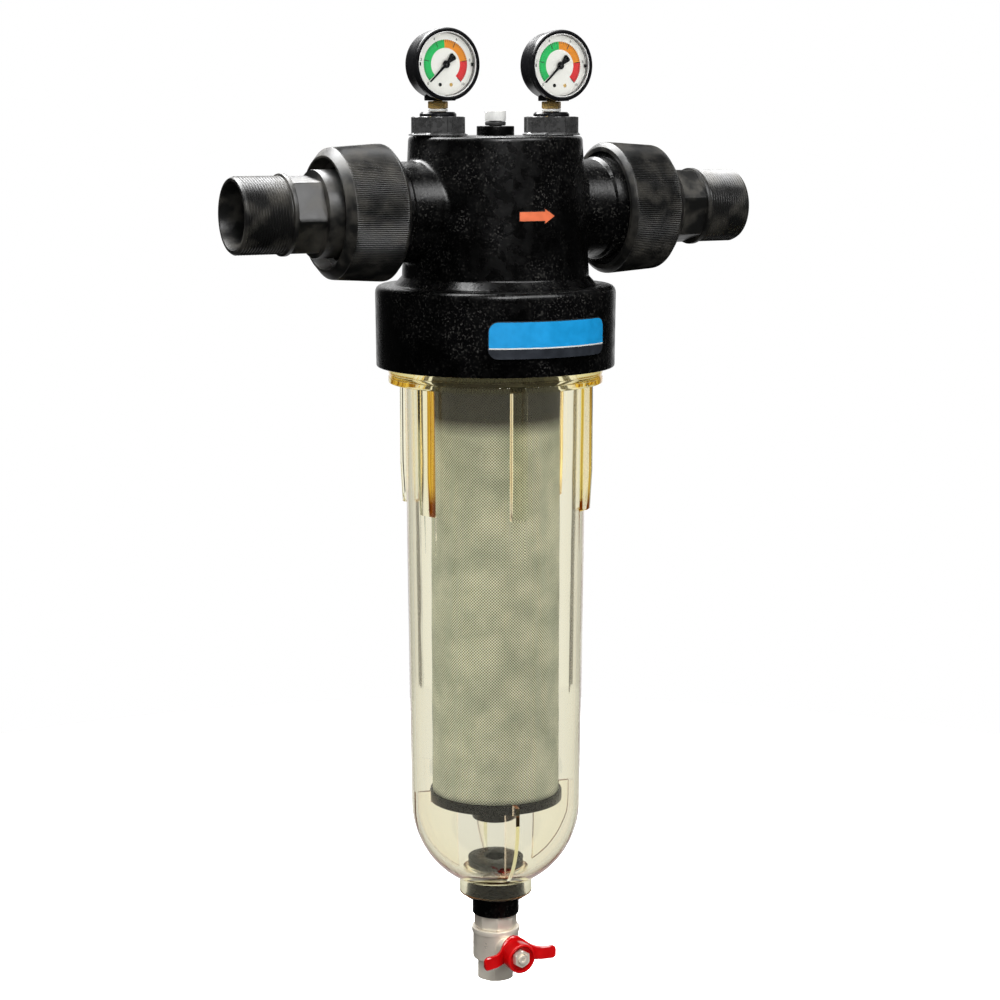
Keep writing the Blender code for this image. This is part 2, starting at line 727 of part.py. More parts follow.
def make_nipple(name, turn, hex_turn):
    """A nipple with its union flange, collar, hexagon, stop ring and threaded end."""
    collar_end = FLANGE_BACK_X + NIPPLE_COLLAR_WIDTH
    hex_end = collar_end + NIPPLE_HEX_WIDTH
    stop_end = hex_end + NIPPLE_STOP_WIDTH
    end = stop_end + NIPPLE_THREAD_LENGTH
    groove_in = UNION_SEAL_R - UNION_SEAL_WIDTH / 2 - SEAT_GAP
    groove_out = UNION_SEAL_R + UNION_SEAL_WIDTH / 2 + SEAT_GAP
    groove_floor = UNION_FACE_X + UNION_SEAL_DEPTH
    core_r = NIPPLE_HEX_FLATS / 2 - RUN_GAP
    profile = [
        (NIPPLE_BORE_R, UNION_FACE_X),
        (groove_in, UNION_FACE_X),
        (groove_in, groove_floor),
        (groove_out, groove_floor),
        (groove_out, UNION_FACE_X),
        (UNION_THREAD_R, UNION_FACE_X),
        (UNION_THREAD_R, FLANGE_BACK_X),
        (NIPPLE_COLLAR_R, FLANGE_BACK_X),
        (NIPPLE_COLLAR_R, collar_end),
        (core_r, collar_end),
        (core_r, hex_end),
        (NIPPLE_STOP_R, hex_end),
        (NIPPLE_STOP_R, stop_end),
        (NIPPLE_THREAD_R, stop_end),
        (NIPPLE_THREAD_R, end - NIPPLE_END_CHAMFER),
        (NIPPLE_THREAD_R - NIPPLE_END_CHAMFER, end),
        (NIPPLE_BORE_R + NIPPLE_MOUTH_FLARE, end),
        (NIPPLE_BORE_R, end - NIPPLE_THREAD_LENGTH / 2),
    ]
    nipple = turned(name, profile, PIPE_SIDES, black_moulding(), turn=turn)
    outline = polygon(NUT_SIDES, NIPPLE_HEX_FLATS, hex_turn)
    hexagon = prism(name + "_hex_shape", outline, collar_end - RUN_GAP, hex_end + RUN_GAP, turn=turn)
    inner_r = (NIPPLE_BORE_R + core_r) / 2
    cut(hexagon, ring(name + "_hex_bore", 0.0, inner_r, FLANGE_BACK_X, end, PIPE_SIDES, turn=turn))
    join(nipple, hexagon)


def make_union_nut(name, turn):
    """The union nut, with its lip behind the nipple's flange."""
    lip_start = FLANGE_BACK_X + SEAT_GAP
    lip_end = lip_start + NUT_LIP_WIDTH
    lip_r = bore_for(NIPPLE_COLLAR_R, NUT_LIP_CLEARANCE, PIPE_SIDES)
    rim_r = NUT_TAIL_R - NUT_TAIL_CHAMFER
    profile = [
        (NUT_BORE_R, NUT_HEAD_END_X),
        (NUT_HEAD_R - NUT_HEAD_CHAMFER, NUT_HEAD_END_X),
        (NUT_HEAD_R, NUT_HEAD_END_X + NUT_HEAD_CHAMFER),
        (NUT_TAIL_R, NUT_END_X - NUT_TAIL_CHAMFER),
        (rim_r, NUT_END_X),
        (rim_r - NUT_RIM_WALL, NUT_END_X),
        (rim_r - 2 * NUT_RIM_WALL, lip_end),
        (lip_r, lip_end),
        (lip_r, lip_start),
        (NUT_BORE_R, lip_start),
    ]
    turned(name, profile, PIPE_SIDES, black_moulding(), turn=turn)


def make_union(word, turn, hex_turn):
    make_nipple(word + "_nipple", turn, hex_turn)
    make_union_nut(word + "_union_nut", turn)
    seal_low = UNION_FACE_X
    section = seal_profile(
        UNION_SEAL_R - UNION_SEAL_WIDTH / 2,
        UNION_SEAL_R + UNION_SEAL_WIDTH / 2,
        seal_low,
        seal_low + UNION_SEAL_DEPTH - SEAT_GAP,
    )
    turned(word + "_union_oring", section, PIPE_SIDES, black_rubber(), turn=turn)


def cap_nut_outline(turn):
    """Flats with a narrow raised rib at each corner."""
    outline = []
    flat_r = CAP_NUT_CORNER_R - CAP_NUT_FLAT_STEP
    half = CAP_NUT_RIB_ANGLE / 2
    for step in range(CAP_NUT_FLATS):
        middle = turn + math.tau * step / CAP_NUT_FLATS
        for angle, radius in (
            (middle - half - CAP_NUT_RIB_SLOPE, flat_r),
            (middle - half, CAP_NUT_CORNER_R),
            (middle + half, CAP_NUT_CORNER_R),
            (middle + half + CAP_NUT_RIB_SLOPE, flat_r),
        ):
            outline.append((radius * math.cos(angle), radius * math.sin(angle)))
    return outline


def make_gauge_port(word, x, cap_turn):
    """The adapter that closes a gauge port, the cap nut that clamps it, and its washer."""
    place = (x, 0.0, 0.0)
    flange_z = BOSS_TOP_Z + SEAT_GAP
    flange_top = flange_z + ADAPTER_FLANGE_WIDTH
    spigot_r = BOSS_BORE_R - SEAT_GAP * 1.5
    thread_r = STEM_THREAD_R + SMALL_RUN_GAP
    turned(
        word + "_gauge_adapter",
        [
            (thread_r, flange_z - ADAPTER_SPIGOT_LENGTH),
            (spigot_r, flange_z - ADAPTER_SPIGOT_LENGTH),
            (spigot_r, flange_z),
            (ADAPTER_FLANGE_R, flange_z),
            (ADAPTER_FLANGE_R, flange_top),
            (ADAPTER_NECK_R, flange_top),
            (ADAPTER_NECK_R, ADAPTER_TOP_Z - ADAPTER_CHAMFER),
            (ADAPTER_NECK_R - ADAPTER_CHAMFER, ADAPTER_TOP_Z),
            (thread_r, ADAPTER_TOP_Z),
        ],
        SMALL_SIDES,
        black_moulding(),
        place,
    )
    nut_low = HEAD_TOP_Z + SEAT_GAP
    outline = cap_nut_outline(cap_turn)
    nut = prism(word + "_gauge_cap_nut", outline, nut_low, CAP_NUT_TOP_Z, black_moulding(), place)
    lip_top = nut_low + CAP_NUT_LIP_HEIGHT
    lip_top_r = CAP_NUT_CORNER_R - 2 * CAP_NUT_FLAT_STEP
    flare = [(0.0, nut_low), (CAP_NUT_LIP_R, nut_low), (lip_top_r, lip_top), (0.0, lip_top)]
    join(nut, turned(word + "_cap_lip_shape", flare, SMALL_SIDES, at=place))
    cavity_r = BOSS_R + SEAT_GAP * 1.5
    shoulder = flange_top + SEAT_GAP
    hole_r = ADAPTER_NECK_R + SEAT_GAP * 1.5
    hollow = [
        (0.0, nut_low - RUN_GAP),
        (cavity_r, nut_low - RUN_GAP),
        (cavity_r, shoulder),
        (hole_r, shoulder),
        (hole_r, CAP_NUT_TOP_Z + RUN_GAP),
        (0.0, CAP_NUT_TOP_Z + RUN_GAP),
    ]
    cut(nut, turned(word + "_cap_hollow", hollow, SMALL_SIDES, at=place))
    washer_top = WASHER_Z + WASHER_HEIGHT
    ring(
        word + "_gauge_washer", thread_r, WASHER_R, WASHER_Z, washer_top, SMALL_SIDES, white_plastic(), place
    )


def make_gauge_stem(word, x):
    """The brass stem: thread, hexagon, neck into the case and the block that carries the tube."""
    hex_top = GAUGE_BLOCK_Z - SEAT_GAP
    thread_low = BOSS_TOP_Z - ADAPTER_SPIGOT_LENGTH / 2
    block_low = GAUGE_Z - CASE_INSIDE_R + 2 * RUN_GAP
    block_top = GAUGE_Z + SOCKET_BLOCK_TOP
    place = (x, 0.0, 0.0)
    stem = turned(
        word + "_gauge_stem",
        [
            (STEM_BORE_R, thread_low),
            (STEM_THREAD_R, thread_low),
            (STEM_THREAD_R, STEM_HEX_Z + RUN_GAP),
            (STEM_NECK_R, STEM_HEX_Z + RUN_GAP),
            (STEM_NECK_R, block_low + RUN_GAP),
            (STEM_BORE_R, block_low + RUN_GAP),
        ],
        TINY_SIDES,
        brass(),
        place,
    )
    outline = polygon(NUT_SIDES, STEM_HEX_FLATS, STEM_HEX_TURN)
    hexagon = prism(word + "_stem_hex_shape", outline, STEM_HEX_Z, hex_top, at=place)
    middle_r = (STEM_NECK_R + STEM_BORE_R) / 2
    cut(hexagon, ring(word + "_stem_hex_bore", 0.0, middle_r, thread_low, block_top, TINY_SIDES, at=place))
    join(stem, hexagon)
    half = SOCKET_BLOCK_SIZE / 2
    square = [(-half, -half), (half, -half), (half, half), (-half, half)]
    join(stem, prism(word + "_stem_block_shape", square, block_low, block_top, at=place))


def make_gauge_case(word, place):
    """The case and its bezel, open at the front, with a block round the stem underneath."""
    dial_back = GAUGE_FRONT - DIAL_DEPTH - DIAL_THICKNESS
    window_seat = GAUGE_FRONT - WINDOW_DEPTH - WINDOW_THICKNESS - SEAT_GAP
    bezel_back = GAUGE_FRONT - GAUGE_BEZEL_WIDTH
    profile = [
        (0.0, -GAUGE_BACK),
        (GAUGE_CASE_R - GAUGE_WALL, -GAUGE_BACK),
        (GAUGE_CASE_R, -GAUGE_BACK + GAUGE_WALL),
        (GAUGE_CASE_R, bezel_back - RUN_GAP),
        (GAUGE_R, bezel_back),
        (GAUGE_R, GAUGE_FRONT - RUN_GAP),
        (GAUGE_R - RUN_GAP, GAUGE_FRONT),
        (WINDOW_R + SEAT_GAP, GAUGE_FRONT),
        (WINDOW_R + SEAT_GAP, window_seat),
        (DIAL_R + SEAT_GAP, window_seat),
        (DIAL_R + SEAT_GAP, dial_back - SEAT_GAP),
        (CASE_INSIDE_R, dial_back - SEAT_GAP),
        (CASE_INSIDE_R, -GAUGE_BACK + GAUGE_WALL),
        (0.0, -GAUGE_BACK + GAUGE_WALL),
    ]
    case = turned(word + "_gauge_case", profile, PIPE_SIDES, black_enamel(), place, FACING_FRONT)
    wide = GAUGE_BLOCK_WIDTH / 2
    block_front = bezel_back - RUN_GAP
    outline = [
        (-wide, -GAUGE_BLOCK_DROP),
        (wide, -GAUGE_BLOCK_DROP),
        (wide, -GAUGE_BLOCK_DROP + GAUGE_BLOCK_DEPTH),
        (-wide, -GAUGE_BLOCK_DROP + GAUGE_BLOCK_DEPTH),
    ]
    block_back = -GAUGE_BACK + GAUGE_WALL / 2
    join(case, prism(word + "_case_block_shape", outline, block_back, block_front, None, place, FACING_FRONT))
    inside_low = -GAUGE_BACK + GAUGE_WALL
    inside = CASE_INSIDE_R
    hollow = [(0.0, inside_low), (inside, inside_low), (inside, window_seat), (0.0, window_seat)]
    cut(case, turned(word + "_case_hollow", hollow, PIPE_SIDES, None, place, FACING_FRONT))
    neck_r = STEM_NECK_R + SEAT_GAP * 1.5
    neck_low = -GAUGE_BLOCK_DROP - RUN_GAP
    neck = ring(word + "_case_neck", 0.0, neck_r, neck_low, -DIAL_R / 2, TINY_SIDES, None, place)
    cut(case, neck)


def pointer_mesh():
    """A pointer at its zero mark: hub, needle, fan-shaped tail and the arbor behind."""
    low = GAUGE_FRONT - POINTER_DEPTH - POINTER_THICKNESS
    high = GAUGE_FRONT - POINTER_DEPTH
    outline = []
    for along, half_width in (
        (POINTER_LENGTH, POINTER_TIP_HALF),
        (0.0, POINTER_ROOT_HALF),
        (POINTER_TAIL_ROUND - POINTER_TAIL_LENGTH, POINTER_TAIL_HALF),
        (-POINTER_TAIL_LENGTH, POINTER_TAIL_HALF - POINTER_TAIL_ROUND),
    ):
        outline.append((along, half_width))
    mirrored = [(along, -half_width) for along, half_width in reversed(outline)]
    turn_to_zero = []
    for along, across in outline + mirrored:
        x = along * math.cos(POINTER_ZERO) - across * math.sin(POINTER_ZERO)
        y = along * math.sin(POINTER_ZERO) + across * math.cos(POINTER_ZERO)
        turn_to_zero.append((x, y))
    return prism_mesh(turn_to_zero, low, high)


def make_gauge(word, x, cap_turn):
    place = (x, 0.0, GAUGE_Z)
    make_gauge_port(word, x, cap_turn)
    make_gauge_stem(word, x)
    make_gauge_case(word, place)
    window_top = GAUGE_FRONT - WINDOW_DEPTH
    ring(
        word + "_gauge_window",
        0.0,
        WINDOW_R,
        window_top - WINDOW_THICKNESS,
        window_top,
        PIPE_SIDES,
        clear_window(),
        place,
        FACING_FRONT,
    )
    dial_top = GAUGE_FRONT - DIAL_DEPTH
    ring(
        word + "_gauge_dial",
        DIAL_HOLE_R,
        DIAL_R,
        dial_top - DIAL_THICKNESS,
        dial_top,
        PIPE_SIDES,
        white_plastic(),
        place,
        FACING_FRONT,
    )
    plate_top = SOCKET_BLOCK_SIZE / 2 + SEAT_GAP + MOVEMENT_THICKNESS
    arbor_hole_r = bore_for(POINTER_ARBOR_R, SMALL_RUN_GAP, TINY_SIDES)
    ring(
        word + "_gauge_movement",
        arbor_hole_r,
        MOVEMENT_R,
        SOCKET_BLOCK_SIZE / 2 + SEAT_GAP,
        plate_top,
        TINY_SIDES,
        brass(),
        place,
        FACING_FRONT,
    )
    hub_low = GAUGE_FRONT - POINTER_DEPTH - POINTER_THICKNESS - SEAT_GAP / 2
    hub_high = GAUGE_FRONT - POINTER_DEPTH + SEAT_GAP / 2
    pointer = turned(
        word + "_gauge_pointer",
        [
            (0.0, plate_top - MOVEMENT_THICKNESS / 2),
            (POINTER_ARBOR_R, plate_top - MOVEMENT_THICKNESS / 2),
            (POINTER_ARBOR_R, hub_low),
            (POINTER_HUB_R, hub_low),
            (POINTER_HUB_R, hub_high),
            (0.0, hub_high),
        ],
        TINY_SIDES,
        black_enamel(),
        place,
        FACING_FRONT,
    )
    join(pointer, add_object(word + "_needle_shape", pointer_mesh(), None, place, FACING_FRONT))
    make_bourdon_tube(word, place)


def make_bourdon_tube(word, place):
    """The curved pressure tube, from the side of the stem's block round to its free end."""
    path = bpy.data.curves.new(word + "_bourdon_tube", "CURVE")
    path.dimensions = "3D"
    path.bevel_depth = BOURDON_TUBE_R * MM
    path.bevel_resolution = 1
    path.use_fill_caps = True
    spline = path.splines.new("POLY")
    spline.points.add(BOURDON_STEPS)
    end_lean = BOURDON_TUBE_R * math.sin(BOURDON_SWEEP / BOURDON_STEPS)
    beside_block = SOCKET_BLOCK_SIZE / 2 + SEAT_GAP + end_lean
    first = math.asin(beside_block / BOURDON_R) - math.pi / 2
    for step, point in enumerate(spline.points):
        angle = first + BOURDON_SWEEP * step / BOURDON_STEPS
        point.co = (BOURDON_R * math.cos(angle) * MM, BOURDON_R * math.sin(angle) * MM, 0.0, 1.0)
    tube = bpy.data.objects.new(word + "_bourdon_tube", path)
    bpy.context.scene.collection.objects.link(tube)
    tube.location = Vector(place) * MM
    tube.rotation_euler = FACING_FRONT
    path.materials.append(brass())


def make_vent():
    """The vent bush in the head's top, its rubber ring and the white screw that closes it."""
    bush_low = HEAD_TOP_Z - HEAD_WALL
    bore_r = bore_for(VENT_SHANK_R, SMALL_RUN_GAP, SMALL_SIDES)
    bush_seat = HEAD_TOP_Z + SEAT_GAP
    turned(
        "vent_bush",
        [
            (bore_r, bush_low),
            (VENT_SPIGOT_R - SEAT_GAP, bush_low),
            (VENT_SPIGOT_R - SEAT_GAP, bush_seat),
            (VENT_BUSH_R, bush_seat),
            (VENT_BUSH_R, VENT_BUSH_TOP_Z - RUN_GAP),
            (VENT_BUSH_R - RUN_GAP, VENT_BUSH_TOP_Z),
            (bore_r, VENT_BUSH_TOP_Z),
        ],
        SMALL_SIDES,
        black_moulding(),
    )
    section = seal_profile(bore_r, VENT_CAP_R, VENT_RING_Z, VENT_RING_Z + VENT_RING_HEIGHT)
    turned("vent_oring", section, SMALL_SIDES, black_rubber())
    cap_top = VENT_CAP_Z + VENT_CAP_HEIGHT
    screw = turned(
        "vent_screw",
        [
            (0.0, VENT_CAP_Z - VENT_SHANK_LENGTH),
            (VENT_SHANK_R, VENT_CAP_Z - VENT_SHANK_LENGTH),
            (VENT_SHANK_R, VENT_CAP_Z),
            (VENT_CAP_R, VENT_CAP_Z),
            (VENT_CAP_R, cap_top - RUN_GAP / 2),
            (VENT_CAP_R - RUN_GAP / 2, cap_top),
            (0.0, cap_top),
        ],
        SMALL_SIDES,
        white_plastic(),
    )
    half = VENT_SLOT_WIDTH / 2
    reach = VENT_CAP_R + RUN_GAP
    slot = [(-reach, -half), (reach, -half), (reach, half), (-reach, half)]
    cut(screw, prism("vent_slot", slot, cap_top - VENT_SLOT_DEPTH, cap_top + RUN_GAP))


def dome_points(inset):
    """The dome as part of an ellipse, from the wall's foot down to the spigot."""
    wide = BOWL_WALL_FOOT_R - inset
    deep = BOWL_DOME_DEPTH - inset
    end_r = SPIGOT_R - inset
    flat = math.acos(end_r / wide)
    depth_scale = deep / math.sin(flat)
    points = []
    for step in range(1, BOWL_DOME_STEPS + 1):
        angle = flat * step / BOWL_DOME_STEPS
        points.append((wide * math.cos(angle), BOWL_WALL_FOOT_Z - depth_scale * math.sin(angle)))
    return points


def bowl_profile():
    flange_foot = BOWL_FLANGE_TOP_Z - BOWL_FLANGE_HEIGHT
    groove_r = BOWL_FLANGE_R - BOWL_GROOVE_DEPTH
    seal_top = BOWL_NECK_TOP_Z - BOWL_SEAL_DROP
    seal_foot = seal_top - BOWL_SEAL_WIDTH - SEAT_GAP * 2
    seal_floor = BOWL_NECK_R - BOWL_SEAL_DEPTH
    neck_bore = BOWL_NECK_R - BOWL_NECK_WALL
    bore_r = ADAPTER_THREAD_R + SEAT_GAP
    outside = [
        (BOWL_NECK_R - RUN_GAP, BOWL_NECK_TOP_Z),
        (BOWL_NECK_R, BOWL_NECK_TOP_Z - RUN_GAP),
        (BOWL_NECK_R, seal_top),
        (seal_floor, seal_top),
        (seal_floor, seal_foot),
        (BOWL_NECK_R, seal_foot),
        (BOWL_NECK_R, BOWL_FLANGE_TOP_Z),
        (BOWL_FLANGE_R, BOWL_FLANGE_TOP_Z),
        (BOWL_FLANGE_R, BOWL_FLANGE_TOP_Z - BOWL_LIP_HEIGHT),
        (groove_r, BOWL_FLANGE_TOP_Z - BOWL_LIP_HEIGHT),
        (groove_r, flange_foot + BOWL_LIP_HEIGHT),
        (BOWL_FLANGE_R, flange_foot + BOWL_LIP_HEIGHT),
        (BOWL_FLANGE_R, flange_foot),
        (BOWL_WALL_TOP_R, flange_foot),
        (BOWL_WALL_FOOT_R, BOWL_WALL_FOOT_Z),
    ]
    spigot = [
        (SPIGOT_R, SPIGOT_FOOT_Z),
        (bore_r, SPIGOT_FOOT_Z),
        (bore_r, SPIGOT_TOP_Z + 2 * BOWL_WALL),
    ]
    inside = [
        *reversed(dome_points(BOWL_WALL)),
        (BOWL_WALL_FOOT_R - BOWL_WALL, BOWL_WALL_FOOT_Z),
        (BOWL_WALL_TOP_R - BOWL_WALL, flange_foot),
        (neck_bore, BOWL_FLANGE_TOP_Z),
        (neck_bore, BOWL_NECK_TOP_Z),
    ]
    return outside + dome_points(0.0) + spigot + inside


def make_bowl():
    bowl = turned("filter_bowl", bowl_profile(), LARGE_SIDES, clear_amber())
    flange_foot = BOWL_FLANGE_TOP_Z - BOWL_FLANGE_HEIGHT
    root = BOWL_WALL_TOP_R - BOWL_WALL / 2
    rib = [
        (root, flange_foot + BOWL_LIP_HEIGHT / 2),
        (BOWL_RIB_R, flange_foot + BOWL_LIP_HEIGHT / 2),
        (BOWL_RIB_R, BOWL_RIB_DRAFT_Z),
        (BOWL_RIB_FOOT_R, BOWL_RIB_FOOT_Z),
        (root, BOWL_RIB_FOOT_Z),
    ]
    ribs = fins_mesh(rib, BOWL_RIB_WIDTH, BOWL_RIB_COUNT, BOWL_RIB_TURN)
    join(bowl, add_object("bowl_rib_shapes", ribs, None))
    foot_rib_top = FOOT_Z - SEAT_GAP
    lip_r = FOOT_R + SEAT_GAP * 2
    wall_r = BOWL_WALL_FOOT_R - BOWL_WALL / 2
    floor = dome_points(BOWL_WALL / 2)
    fin = [
        (FOOT_RIB_INNER_R, foot_rib_top),
        (lip_r, foot_rib_top),
        (lip_r, foot_rib_top + FOOT_RIB_LIP_HEIGHT),
        (wall_r, foot_rib_top + FOOT_RIB_LIP_HEIGHT),
        (wall_r, BOWL_WALL_FOOT_Z),
        *[point for point in floor if point[0] > FOOT_RIB_INNER_R],
        (FOOT_RIB_INNER_R, floor[-1][1]),
    ]
    foot_ribs = fins_mesh(fin, FOOT_RIB_WIDTH, FOOT_RIB_COUNT, FOOT_RIB_TURN)
    join(bowl, add_object("foot_rib_shapes", foot_ribs, None))
    seal_top = BOWL_NECK_TOP_Z - BOWL_SEAL_DROP - SEAT_GAP
    seal_in = bore_for(BOWL_NECK_R - BOWL_SEAL_DEPTH, SEAT_GAP, LARGE_SIDES)
    seal_out = SKIRT_BORE_R - 2 * SEAT_GAP
    section = seal_profile(seal_in, seal_out, seal_top - BOWL_SEAL_WIDTH, seal_top)
    turned("bowl_oring", section, LARGE_SIDES, black_rubber())


def make_collar():
    """The black collar that plugs into the head's outlet socket and carries the cage."""
    band_in = CAGE_R - CAGE_WALL
    profile = [
        (COLLAR_PLUG_BORE_R, COLLAR_PLUG_TOP_Z),
        (COLLAR_PLUG_BORE_R, COLLAR_FLANGE_Z - COLLAR_FLANGE_WIDTH),
        (band_in, COLLAR_FLANGE_Z - COLLAR_FLANGE_WIDTH),
        (band_in, COLLAR_FOOT_Z),
        (CAGE_R, COLLAR_FOOT_Z),
        (CAGE_R, COLLAR_FLANGE_Z),
        (COLLAR_PLUG_R, COLLAR_FLANGE_Z),
        (COLLAR_PLUG_R, COLLAR_PLUG_TOP_Z),
    ]
    turned("cage_collar", profile, PIPE_SIDES, black_moulding())


def make_cage():
    """The slotted cage: a tube of bands and ribs with its windows left out."""
    top = COLLAR_FOOT_Z - SEAT_GAP
    foot = FOOT_TOP_Z + SEAT_GAP
    pitch = (top - foot - CAGE_BAND) / CAGE_WINDOW_ROWS
    heights = []
    for row in range(CAGE_WINDOW_ROWS + 1):
        heights += [foot + pitch * row, foot + pitch * row + CAGE_BAND]
    mesh = bmesh.new()
    rows = []
    for height in heights:
        row = []
        for column in range(PIPE_SIDES):
            angle = math.tau * column / PIPE_SIDES
            row.append(
                mesh.verts.new(
                    (CAGE_R * math.cos(angle) * MM, CAGE_R * math.sin(angle) * MM, height * MM)
                )
            )
        rows.append(row)
    for level, (lower, upper) in enumerate(zip(rows, rows[1:])):
        in_band = level % 2 == 0
        for column in range(PIPE_SIDES):
            following = (column + 1) % PIPE_SIDES
            if in_band or column % CAGE_SIDES_PER_RIB == 0:
                mesh.faces.new((lower[column], lower[following], upper[following], upper[column]))
    data = bpy.data.meshes.new("filter_cage")
    mesh.to_mesh(data)
    mesh.free()
    cage = bpy.data.objects.new("filter_cage", data)
    bpy.context.scene.collection.objects.link(cage)
    data.materials.append(pale_plastic())
    thicken = cage.modifiers.new("wall", "SOLIDIFY")
    thicken.thickness = CAGE_WALL * MM
    thicken.offset = -1.0


def make_foot():
    """The ring and boss that close the cage and stand on the bowl's four ribs."""
    boss_foot = FOOT_TOP_Z - FOOT_BOSS_DROP
    profile = [
        (0.0, FOOT_TOP_Z),
        (FOOT_R, FOOT_TOP_Z),
        (FOOT_R, FOOT_Z),
        (FOOT_BOSS_R, FOOT_Z),
        (FOOT_BOSS_R, boss_foot),
        (FOOT_BOSS_HOLLOW_R, boss_foot),
        (FOOT_BOSS_HOLLOW_R, FOOT_Z + RUN_GAP),
        (0.0, FOOT_Z + RUN_GAP),
    ]
    turned("cage_foot", profile, PIPE_SIDES, black_moulding())


def make_vane():
    """The swirl vane: a ring on the collar's flange with pitched blades at its edge."""
    low = COLLAR_FLANGE_Z + SEAT_GAP
    high = low + VANE_RING_WIDTH
    inner_r = COLLAR_PLUG_R + SEAT_GAP * 2
    vane = ring("swirl_vane", inner_r, VANE_RING_R, low, high, PIPE_SIDES, black_moulding())
    mesh = bmesh.new()
    middle = (low + high) / 2
    along = Vector((math.cos(VANE_PITCH), 0.0, math.sin(VANE_PITCH))) * (VANE_BLADE_CHORD / 2)
    across = Vector((-math.sin(VANE_PITCH), 0.0, math.cos(VANE_PITCH))) * (VANE_BLADE_THICKNESS / 2)
    for step in range(VANE_BLADES):
        angle = math.tau * (step + 0.5) / VANE_BLADES
        outwards = Vector((math.cos(angle), math.sin(angle), 0.0))
        sideways = Vector((-outwards.y, outwards.x, 0.0))
        ends = []
        for radius in (VANE_RING_R - VANE_RING_WIDTH, VANE_TIP_R):
            corners = []
            for a, b in ((-1, -1), (1, -1), (1, 1), (-1, 1)):
                offset = along * a + across * b
                corner = outwards * radius + sideways * offset.x + Vector((0.0, 0.0, middle + offset.z))
                corners.append(mesh.verts.new(corner * MM))
            ends.append(corners)
        mesh.faces.new(ends[0])
        mesh.faces.new(ends[1])
        for i, corner in enumerate(ends[0]):
            following = (i + 1) % 4
            mesh.faces.new((corner, ends[0][following], ends[1][following], ends[1][i]))
    join(vane, add_object("vane_blade_shapes", mesh, None))


def make_element():
    make_collar()
    make_cage()
    make_foot()
    make_vane()
    sleeve_in = SLEEVE_R - SLEEVE_WALL
    ring("filter_sleeve", sleeve_in, SLEEVE_R, FOOT_TOP_Z + SEAT_GAP, SLEEVE_TOP_Z, PIPE_SIDES, woven_mesh())
    clip_in = SLEEVE_R + SEAT_GAP
    clip_low = CLIP_TOP_Z - CLIP_HEIGHT
    ring("sleeve_clip", clip_in, clip_in + CLIP_THICKNESS, clip_low, CLIP_TOP_Z, PIPE_SIDES, black_rubber())


def make_drain_adapter():
    """The black adapter screwed into the bowl's spigot, and the flat gasket under the spigot."""
    tail_foot = ADAPTER_BODY_FOOT_Z - ADAPTER_TAIL_LENGTH
    gasket_top = SPIGOT_FOOT_Z - SEAT_GAP
    gasket_foot = gasket_top - DRAIN_GASKET_HEIGHT
    shoulder = gasket_foot - SEAT_GAP
    thread_r = ADAPTER_THREAD_R - SEAT_GAP
    turned(
        "drain_adapter",
        [
            (ADAPTER_BORE_R, ADAPTER_TOP_DISC_Z),
            (ADAPTER_BORE_R, tail_foot),
            (ADAPTER_TAIL_R, tail_foot),
            (ADAPTER_TAIL_R, ADAPTER_BODY_FOOT_Z),
            (ADAPTER_BODY_R, ADAPTER_BODY_FOOT_Z),
            (ADAPTER_BODY_R, shoulder - RUN_GAP),
            (DRAIN_GASKET_R, shoulder - RUN_GAP),
            (DRAIN_GASKET_R, shoulder),
            (thread_r - RUN_GAP, shoulder),
            (thread_r - RUN_GAP, SPIGOT_FOOT_Z),
            (thread_r, SPIGOT_FOOT_Z),
            (thread_r, ADAPTER_TOP_DISC_Z),
        ],
        PIPE_SIDES,
        black_moulding(),
    )
    gasket_in = thread_r - RUN_GAP + SEAT_GAP
    ring("drain_gasket", gasket_in, DRAIN_GASKET_R, gasket_foot, gasket_top, PIPE_SIDES, black_rubber())


